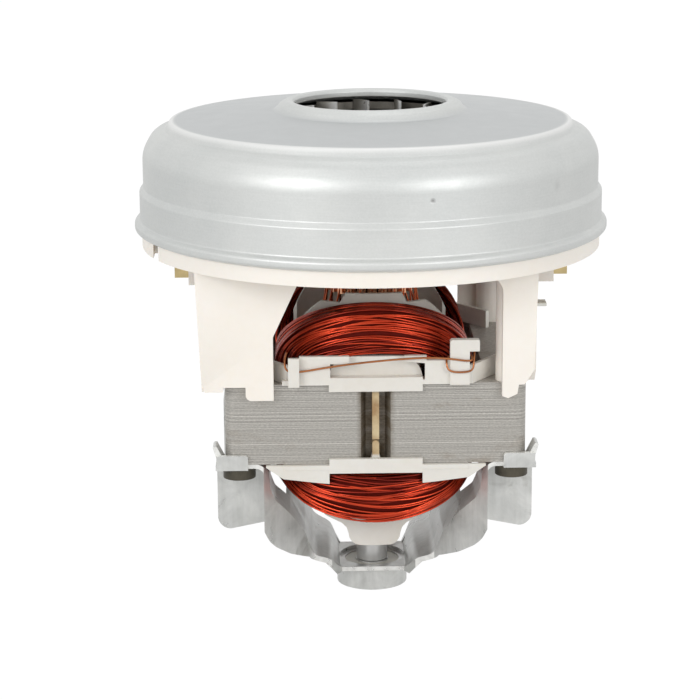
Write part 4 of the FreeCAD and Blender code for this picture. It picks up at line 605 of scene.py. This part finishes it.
def stator_stack():
    """Every lamination as a real step in the wall.

    An outline is carried up the stack; at each joint between two sheets it is drawn in by a few
    hundredths, so the wall is a comb of sheet edges. The end faces are filled between outlines."""
    outer, inner, hole = stack_outlines()
    half_joint, groove, burr, screw_inset = 0.04, 0.07, 0.02, 3.7
    sheets = round((STACK_HIGH[2] - STACK_LOW[2]) / LAMINATION)
    pitch = (STACK_HIGH[2] - STACK_LOW[2]) / sheets
    rows_of_sheet = np.array([0, half_joint, pitch - half_joint])
    level = STACK_LOW[2] + pitch * np.arange(sheets)[:, None] + rows_of_sheet
    level = np.append(level.ravel(), STACK_HIGH[2])
    drawn_in = np.append(np.tile([groove, 0.0, 0.0], sheets), burr)
    drawn_in[0] = burr
    holes = [hole + (STACK_HIGH[:2] - screw_inset) * (a, b) for a in (-1, 1) for b in (-1, 1)]
    points, faces, rims, count = [], [], [], 0
    for number, loop in enumerate([outer, inner, *holes]):
        chord = np.roll(loop, -1, 0) - np.roll(loop, 1, 0)
        normal = np.stack([chord[:, 1], -chord[:, 0]], -1)
        normal /= np.maximum(np.linalg.norm(normal, axis=1, keepdims=True), 1e-9)
        area = (loop[:, 0] * np.roll(loop[:, 1], -1) - loop[:, 1] * np.roll(loop[:, 0], -1)).sum()
        facing = np.sign(area) * (1 if number == 0 else -1)
        flat = loop[None] - facing * normal[None] * drawn_in[:, None, None]
        wall = np.concatenate([flat, np.broadcast_to(level[:, None, None], (*flat.shape[:2], 1))], -1)
        strip = grid_faces(*flat.shape[:2], False, True, count)
        faces += (strip if facing < 0 else strip[:, ::-1]).tolist()
        points.append(wall.reshape(-1, 3))
        rims.append((count, len(loop), flat.shape[0]))
        count += wall.shape[0] * wall.shape[1]
    points = np.concatenate(points)
    for end in (0, 1):
        index = [start + end * (rows - 1) * size + np.arange(size) for start, size, rows in rims]
        outlines = [[Vector(point) for point in points[rim]] for rim in index]
        index = np.concatenate(index)
        for triangle in tessellate_polygon(outlines):
            a, b, c = (points[index[k]] for k in triangle)
            upward = np.cross(b - a, c - a)[2] > 0
            face = index[list(triangle)].tolist()
            faces.append(face if upward == bool(end) else face[::-1])
    made = piece_from("stator_laminations", points, faces, STACK, sharp=25)
    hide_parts("stator_core")


# Field coils

# The bundle starts at the inner half width and the back radius, and grows by its width and depth. The
# rims are where its loops leave the stack, and each apex is that of the innermost and outermost loop.

COIL_LOW, COIL_HIGH = corners_of("field_coil_front")
WIRE = 0.27
INNER_HALF, BUNDLE_WIDE = 14.6, 12.8
BACK_RADIUS, BUNDLE_DEEP = 28.1, 8.6
RIM_TOP, RIM_LOW = STACK_HIGH[2] + 0.5, STACK_LOW[2] - 0.5
APEX_TOP = (78.6, COIL_HIGH[2] - WIRE + 0.2)
APEX_LOW = (43.2, COIL_LOW[2] + WIRE - 0.9)


def coil_stations(arc_steps=40, flank_steps=4):
    """Once round a loop: angle on the end arcs, and height along the straight flanks.

    Right flank up, over the top, left flank down and back under the pole."""
    arc = np.linspace(0, math.pi, arc_steps + 1)
    climb = np.linspace(0, 1, flank_steps + 1)[1:-1]
    still = np.zeros_like(climb)
    angle = np.concatenate([still, arc, still + math.pi, arc + math.pi])
    along = np.concatenate([climb, arc * 0 + 1, 1 - climb, arc * 0])
    return angle, along


def coil_points(angle, along, across, depth):
    """A point of the bundle: across runs from the inner to the outer loops, depth from back to front.

    x = half * cos a with half spreading as sin 2a, so that the front strands fan out of the windows;
    y runs from the window's radius to the apex as sin a to the power 1.5; z rises from the rim to the apex
    as sin a to the power 1.05 above and 0.8 below, and straight up the flanks between the rims."""
    half = INNER_HALF + BUNDLE_WIDE * across
    radius = BACK_RADIUS + BUNDLE_DEEP * depth
    rise = np.abs(np.sin(angle))
    top = np.sin(angle) >= 0
    slack, fan = 0.8, 6.0
    spread = np.abs(np.sin(2 * angle)) * (slack + fan * depth * (1 - across))
    x = (half + spread) * np.cos(angle)
    flank_y = -np.sqrt(np.maximum(radius ** 2 - half ** 2, 1.0))
    crown, lower_swell, stand_off = 0.9, 2.6, 1.8
    swell = crown * depth * (1 - (2 * across - 1) ** 2) + np.where(top, 0.0, lower_swell) * depth
    apex_y = -(radius + stand_off + swell)
    y = flank_y + (apex_y - flank_y) * rise ** 1.5
    apex = np.where(top, APEX_TOP[0] + (APEX_TOP[1] - APEX_TOP[0]) * across,
                    APEX_LOW[0] + (APEX_LOW[1] - APEX_LOW[0]) * across)
    rim = np.where(top, RIM_TOP, RIM_LOW)
    straight = RIM_LOW + (RIM_TOP - RIM_LOW) * along
    z = np.where(rise > 1e-9, rim + (apex - rim) * rise ** np.where(top, 1.05, 0.8), straight)
    return np.stack([x, y, z], -1)


def skin_position(share):
    """Where a strand lies on the bundle's skin, from its share of the way round the section."""
    stops = np.array([0.0, 0.30, 0.50, 0.80, 1.0])
    across = np.interp(share % 1.0, stops, [0.0, 1.0, 1.0, 0.0, 0.0])
    depth = np.interp(share % 1.0, stops, [1.0, 1.0, 0.0, 0.0, 1.0])
    return across, depth


def coil_skin():
    """One unbroken wire laid round the bundle's skin turn by turn, each turn wandering a little.

    Four phases are drawn for a turn and three are used, which keeps the later draws as they are."""
    turns, sides = 96, 7
    sideways, ripple, lift = 0.13, 0.07, 0.05
    angle, along = coil_stations()
    count = len(angle)
    station = np.arange(count) / count
    share = (np.arange(turns)[:, None] + station[None]) / turns
    across, depth = skin_position(share)
    phase = chance.uniform(0, 2 * math.pi, (4, turns, 1))
    size = chance.uniform(0.4, 1.0, (3, turns, 1))
    sway = 2 * math.pi * station[None]
    steady = np.abs(np.sin(angle))[None] ** 0.5
    across = across + steady * sideways * size[0] * np.sin(sway + phase[0])
    across = np.clip(across + steady * ripple * size[1] * np.sin(3 * sway + phase[1]), -0.02, 1.0)
    depth = np.clip(depth + steady * lift * size[2] * np.sin(2 * sway + phase[2]), -0.02, 1.05)
    path = coil_points(angle[None], along[None], across, depth).reshape(1, -1, 3)
    points, faces = tubes(path, WIRE, sides, (0, -1, 0.2))
    shade = np.repeat(chance.uniform(0.1, 1.0, turns), count * sides)
    return points, faces, shade


def coil_core():
    """The turns below the skin as one closed bundle: the same loops, a third of a millimetre inside."""
    angle, along = coil_stations(30, 3)
    share = np.linspace(0, 1, 40, endpoint=False)
    across, depth = skin_position(share)
    narrower, thinner = 0.95, 0.93
    across = 0.5 + (across - 0.5) * narrower
    depth = 0.5 + (depth - 0.5) * thinner
    points = coil_points(angle[:, None], along[:, None], across[None], depth[None])
    faces = grid_faces(len(angle), len(share), True, True)
    return points.reshape(-1, 3), faces


def field_coils():
    """Front and rear windings, the rear one turned half round the shaft."""
    points, faces, shade = coil_skin()
    core, core_faces = coil_core()
    for side in ("front", "rear"):
        if side == "rear":
            points, core = half_turned(points), half_turned(core)
        strands = piece_from(f"coil_strands_{side}", points, faces, COIL_WIRE, shade=shade)
        # The body inside the strands takes the painted-shade finish.
        inside = piece_from(f"coil_body_{side}", core, core_faces[:, ::-1].tolist(), COIL_CORE_SHADE)
        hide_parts(f"field_coil_{side}")
        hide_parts(f"coil_core_{side}")


# Armature winding

WINDING_LOW, WINDING_HIGH = corners_of("armature_winding")
SLOTS = 12
SLOT_RADIUS = 16.6
BARS = 24


def spun(spots, copies):
    """Points (radius, turn, height) repeated round the shaft, as (copies, points, 3)."""
    radius, turn, height = np.array(spots, float).T
    angle = turn + 2 * math.pi * np.arange(copies)[:, None] / copies
    return np.stack([radius * np.cos(angle), radius * np.sin(angle), height + 0 * angle], -1)


def head_wires(rim, crown):
    """The wires of one head: chords from each slot to the fifth one along, laid over each other.

    Along a chord the angle turns evenly through 150 degrees, the radius dips to the inner radius as
    sin u, and the height climbs from the rim to the strand's own crown as the square root of sin u."""
    layers, strands = 3, 7
    throw, slot_spread = math.radians(150), 0.13
    inner_radius, inner_spread, outer_spread = 7.4, 4.6, 1.9
    lowest, climb, inner_lift = 0.42, 0.19, 0.3
    u = np.linspace(0, math.pi, 26)
    wires = []
    for layer in range(layers):
        for slot in range(SLOTS):
            first = 2 * math.pi * (slot + 0.5) / SLOTS
            for strand in range(strands):
                share = strand / (strands - 1)
                angle = first + slot_spread * (share - 0.5) + throw * u / math.pi
                level = (layer + share + slot / SLOTS) / layers
                inner = inner_radius + inner_spread * share
                outside = SLOT_RADIUS + outer_spread * (1 - share)
                radius = outside + (inner - outside) * np.sin(u)
                crest = (crown - rim) * (lowest + climb * level) * (1 + inner_lift * (1 - share))
                height = rim + crest * np.sqrt(np.sin(u))
                wires.append(np.stack([radius * np.cos(angle), radius * np.sin(angle), height], -1))
    return np.array(wires)


def armature_heads(above, below):
    """Both heads, wire by wire, over a domed body each that is dark with painted shade."""
    wire, sides = 0.42, 6
    heads = np.concatenate([
        head_wires(above, WINDING_HIGH[2] - wire), head_wires(below, WINDING_LOW[2] + wire)])
    points, faces = tubes(heads, wire, sides, (0, 0, 1))
    shade = np.repeat(chance.uniform(0.1, 1.0, len(heads)), heads.shape[1] * sides)
    wound = piece_from("armature_head_wires", points, faces, ARMATURE_WIRE, "rotor", shade=shade)
    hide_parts("armature_winding")

    inner, outer, shoulder = 4.9, SLOT_RADIUS + 1.2, 4.0
    for name, rim, crown in (("upper", above, WINDING_HIGH[2]), ("lower", below, WINDING_LOW[2])):
        reach = crown - rim
        dome, dome_faces = revolved(rounded([
            (inner, rim), (outer, rim), (outer, rim + 0.3 * reach, 3.0),
            (inner + shoulder, crown - 0.25 * reach, 3.0), (inner, crown - 0.12 * reach)], 6), 72)
        outward = dome_faces[:, ::-1] if name == "upper" else dome_faces
        inside = piece_from(f"armature_{name}_body", dome, outward.tolist(), COIL_CORE_SHADE, "rotor", 60)


def slot_bundles(above, below):
    """Six straight wires in every slot, from one head to the other."""
    wire, sides = 0.6, 7
    spots = [(SLOT_RADIUS - 1.6, 0.0), (SLOT_RADIUS + 1.2, -0.075), (SLOT_RADIUS + 1.2, 0.075),
             (SLOT_RADIUS + 2.2, 0.0), (SLOT_RADIUS, -0.13), (SLOT_RADIUS, 0.13)]
    ends = [(radius, turn, z) for radius, turn in spots for z in (below, above)]
    straight = spun(ends, SLOTS).reshape(-1, 2, 3)
    points, faces = tubes(straight, wire, sides, (1.0, 0.3, 0.0))
    shade = np.repeat(chance.uniform(0.1, 0.9, len(straight)), 2 * sides)
    bundles = piece_from("armature_slot_wires", points, faces, ARMATURE_WIRE, "rotor", shade=shade)


def commutator_risers():
    """A thin wire from the upper head to the hook of every commutator bar."""
    wire, sides, steps = 0.3, 6, 14
    foot = corners_of("commutator_bars")[0][2]
    stations = [(14.6, -0.16, WINDING_HIGH[2] - 4.5), (13.6, -0.09, WINDING_HIGH[2] - 0.5),
                (12.9, -0.03, foot - 0.6), (12.95, 0.0, foot + 1.2), (12.3, 0.0, foot + 2.6)]
    risers = np.array([smooth_path(route, steps) for route in spun(stations, BARS)])
    points, faces = tubes(risers, wire, sides, (0.1, 0.2, 1.0))
    shade = np.repeat(chance.uniform(0.3, 1.0, BARS), steps * sides)
    ends = piece_from("commutator_risers", points, faces, ARMATURE_WIRE, "rotor", shade=shade)


def armature_winding():
    """The heads, the bundles in the slots between them and the risers, one after the other."""
    past_core = 1.1
    above, below = STACK_HIGH[2] + past_core, STACK_LOW[2] - past_core
    armature_heads(above, below)
    slot_bundles(above, below)
    commutator_risers()


# Brush springs and field leads

def brush_springs():
    """A helix behind each brush: (x, r cos a, z + r sin a), with x growing evenly with a."""
    turns, steps, radius, wire, sides = 8, 18, 2.6, 0.35, 8
    inner, outer, level = 36.0, 55.1, 97.0
    share = np.linspace(0, 1, turns * steps + 1)
    angle = 2 * math.pi * turns * share
    along = inner + (outer - inner) * share
    path = np.stack([along, radius * np.cos(angle), level + radius * np.sin(angle)], -1)
    for side, sign in (("right", 1), ("left", -1)):
        way = path if side == "right" else half_turned(path)
        points, faces = tubes(way[None], wire, sides, (1, 0, 0))
        spring = piece_from(f"spring_wire_{side}", points, faces, SPRING)
        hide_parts(f"brush_spring_{side}")
        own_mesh(spring)


LEAD_ROUTE = [
    (-24.2, -38.9, 78.8), (-24.7, -40.2, 77.6), (-24.8, -41.7, 75.6), (-23.9, -42.0, 74.0),
    (-20.0, -41.9, 74.1), (-12.0, -42.0, 75.6), (0.0, -42.1, 77.0), (13.0, -42.4, 78.0),
    (19.4, -42.85, 77.8), (24.6, -42.95, 76.9), (26.2, -42.7, 77.0), (26.4, -41.2, 77.9),
    (25.4, -39.6, 78.0), (20.8, -39.6, 77.7), (19.4, -40.4, 77.6), (19.1, -42.4, 76.8),
    (19.3, -43.0, 74.9), (20.6, -42.9, 73.8), (24.8, -42.9, 73.8), (26.5, -42.8, 74.4),
    (26.6, -42.0, 76.6), (26.9, -40.6, 78.6), (27.0, -39.2, 79.4)]


def field_leads():
    """The thin wire from each coil: past the post, across the front and twice round the peg."""
    wire, sides, steps = 0.28, 8, 260
    path = smooth_path(LEAD_ROUTE, steps)
    for side in ("front", "rear"):
        way = path if side == "front" else half_turned(path)
        points, faces = tubes(way[None], wire, sides, (0.25, 0.2, 1.0))
        shade = np.full(len(points), 0.6)
        lead = piece_from(f"lead_wire_{side}", points, faces, LEAD_WIRE, shade=shade)
        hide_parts(f"field_lead_{side}")


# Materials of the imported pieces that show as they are

PLAIN_NODES = {
    "terminal_tabs": TINNED,
    "diffuser": GREY,
    "upper_bearing_outer_ring": GROUND,
    "upper_bearing_inner_ring": GROUND,
    "upper_bearing_balls": GROUND,
    "upper_bearing_seals": RUBBER,
    "lower_bearing_outer_ring": GROUND,
    "lower_bearing_inner_ring": GROUND,
    "lower_bearing_balls": GROUND,
    "lower_bearing_seals": SHIELD,
    "clamping_screws": OILED,
    "brush_holder_right": BRASS,
    "brush_holder_left": BRASS,
    "carbon_brush_right": CARBON,
    "carbon_brush_left": CARBON,
    "shaft": GROUND,
    "armature_core": STACK,
    "armature_end_plates": BOARD,
    "commutator_hub": BROWN,
    "commutator_bars": COPPER,
    "shaft_spacer": GROUND,
    "impeller_hub": ALUMINIUM,
    "impeller_back_plate": ALUMINIUM,
    "impeller_shroud": ALUMINIUM,
    "impeller_blades": ALUMINIUM,
    "fan_washer": GROUND,
    "fan_nut": ZINC,
}


def finish_packed_pieces():
    """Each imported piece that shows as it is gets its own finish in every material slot."""
    for node, finish in PLAIN_NODES.items():
        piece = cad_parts[node]
        for slot in piece.material_slots:
            slot.material = finish
        if not piece.material_slots:
            piece.data.materials.append(finish)


# Floor, light and camera

def split_by_ray(tree, output, lit, shown, *rays):
    """Two shaders in one: the shown one gets its share of each kind of ray, the lit one all the rest."""
    path = tree.nodes.new("ShaderNodeLightPath")
    shares = []
    for ray, part in rays:
        share = tree.nodes.new("ShaderNodeMath")
        share.operation = "MULTIPLY"
        share.inputs[1].default_value = part
        tree.links.new(path.outputs[ray], share.inputs[0])
        shares.append(share.outputs[0])
    factor = shares[0]
    for other in shares[1:]:
        either = tree.nodes.new("ShaderNodeMath")
        either.operation = "MAXIMUM"
        tree.links.new(factor, either.inputs[0])
        tree.links.new(other, either.inputs[1])
        factor = either.outputs[0]
    mix = tree.nodes.new("ShaderNodeMixShader")
    for socket, source in zip(mix.inputs, (factor, lit.outputs[0], shown.outputs[0])):
        tree.links.new(source, socket)
    tree.links.new(mix.outputs[0], output.inputs["Surface"])


def white_floor():
    """A square floor that keeps the object's shadow and looks white to the camera."""
    reach = 3.0
    corners = [(reach * x, reach * y, 0) for x, y in ((-1, -1), (1, -1), (1, 1), (-1, 1))]
    mesh = bpy.data.meshes.new("floor")
    mesh.from_pydata(corners, [], [(0, 1, 2, 3)])
    floor = bpy.data.objects.new("floor", mesh)
    bpy.context.scene.collection.objects.link(floor)
    pale = bpy.data.materials.new("floor_white")
    pale.use_nodes = True
    tree = pale.node_tree
    tree.nodes.clear()
    matt = tree.nodes.new("ShaderNodeBsdfDiffuse")
    matt.inputs["Color"].default_value = (0.82, 0.82, 0.82, 1)
    glow = tree.nodes.new("ShaderNodeEmission")
    glow.inputs["Strength"].default_value = 1.03
    split_by_ray(tree, tree.nodes.new("ShaderNodeOutputMaterial"), matt, glow,
                 ("Is Camera Ray", 0.97), ("Is Glossy Ray", 0.5))
    mesh.materials.append(pale)


def white_room():
    """A white world that lights the object at a plain level."""
    world = bpy.data.worlds.new("white_room")
    bpy.context.scene.world = world
    world.use_nodes = True
    tree = world.node_tree
    tree.nodes.clear()
    light = tree.nodes.new("ShaderNodeBackground")
    white = tree.nodes.new("ShaderNodeBackground")
    for background, strength in ((light, 0.66), (white, 1.0)):
        background.inputs["Color"].default_value = (1, 1, 1, 1)
        background.inputs["Strength"].default_value = strength
    split_by_ray(tree, tree.nodes.new("ShaderNodeOutputWorld"), light, white,
                 ("Is Camera Ray", 1.0), ("Is Glossy Ray", 1.0), ("Is Transmission Ray", 1.0))


def lamps():
    """Two large soft lamps in front and a weaker one above, each a square turned to the motor."""
    middle = Vector((0, 0, 0.07))
    for name, spot, width, power in (
            ("lamp_left", (-0.75, -0.95, 0.6), 0.5, 4.6),
            ("lamp_right", (0.7, -1.0, 0.5), 0.45, 3.1),
            ("lamp_top", (0.1, 0.25, 1.3), 0.9, 1.2)):
        lamp = bpy.data.lights.new(name, "AREA")
        lamp.shape = "SQUARE"
        lamp.size = width
        lamp.energy = power
        holder = bpy.data.objects.new(name, lamp)
        holder.location = spot
        holder.rotation_euler = (middle - Vector(spot)).to_track_quat("-Z", "Y").to_euler()
        bpy.context.scene.collection.objects.link(holder)


def camera():
    """The photograph's view: a long lens, a little above the cover, with the motor turned slightly."""
    turn, tip, roll = math.radians(-1.2), math.radians(76.06), math.radians(-0.35)
    spot = (-0.0061, -0.651, 0.2313)
    lens = bpy.data.cameras.new("camera")
    lens.lens = 119.2
    lens.sensor_width = 36.0
    lens.clip_start = 0.05
    lens.clip_end = 20.0
    holder = bpy.data.objects.new("camera", lens)
    bpy.context.scene.collection.objects.link(holder)
    stand = Matrix.Rotation(turn, 4, "Z") @ Matrix.Translation(spot)
    aim = Matrix.Rotation(tip, 4, "X") @ Matrix.Rotation(roll, 4, "Z")
    holder.matrix_world = stand @ aim
    bpy.context.scene.camera = holder


fan_cover()
rounded_copy("motor_housing", "housing_moulding", CREAM, 0.45)
rounded_copy("bearing_bracket", "bracket_pressing", BRACKET, 0.5, sheet=1.3)
for side in ("front", "rear"):
    rounded_copy(f"upper_insulator_{side}", f"upper_spool_{side}", WHITE, 0.25)
    rounded_copy(f"lower_insulator_{side}", f"lower_spool_{side}", WHITE, 0.25)
stator_stack()
field_coils()
armature_winding()
brush_springs()
field_leads()
finish_packed_pieces()
white_floor()
white_room()
lamps()
camera()

bpy.context.scene.view_settings.view_transform = "Standard"
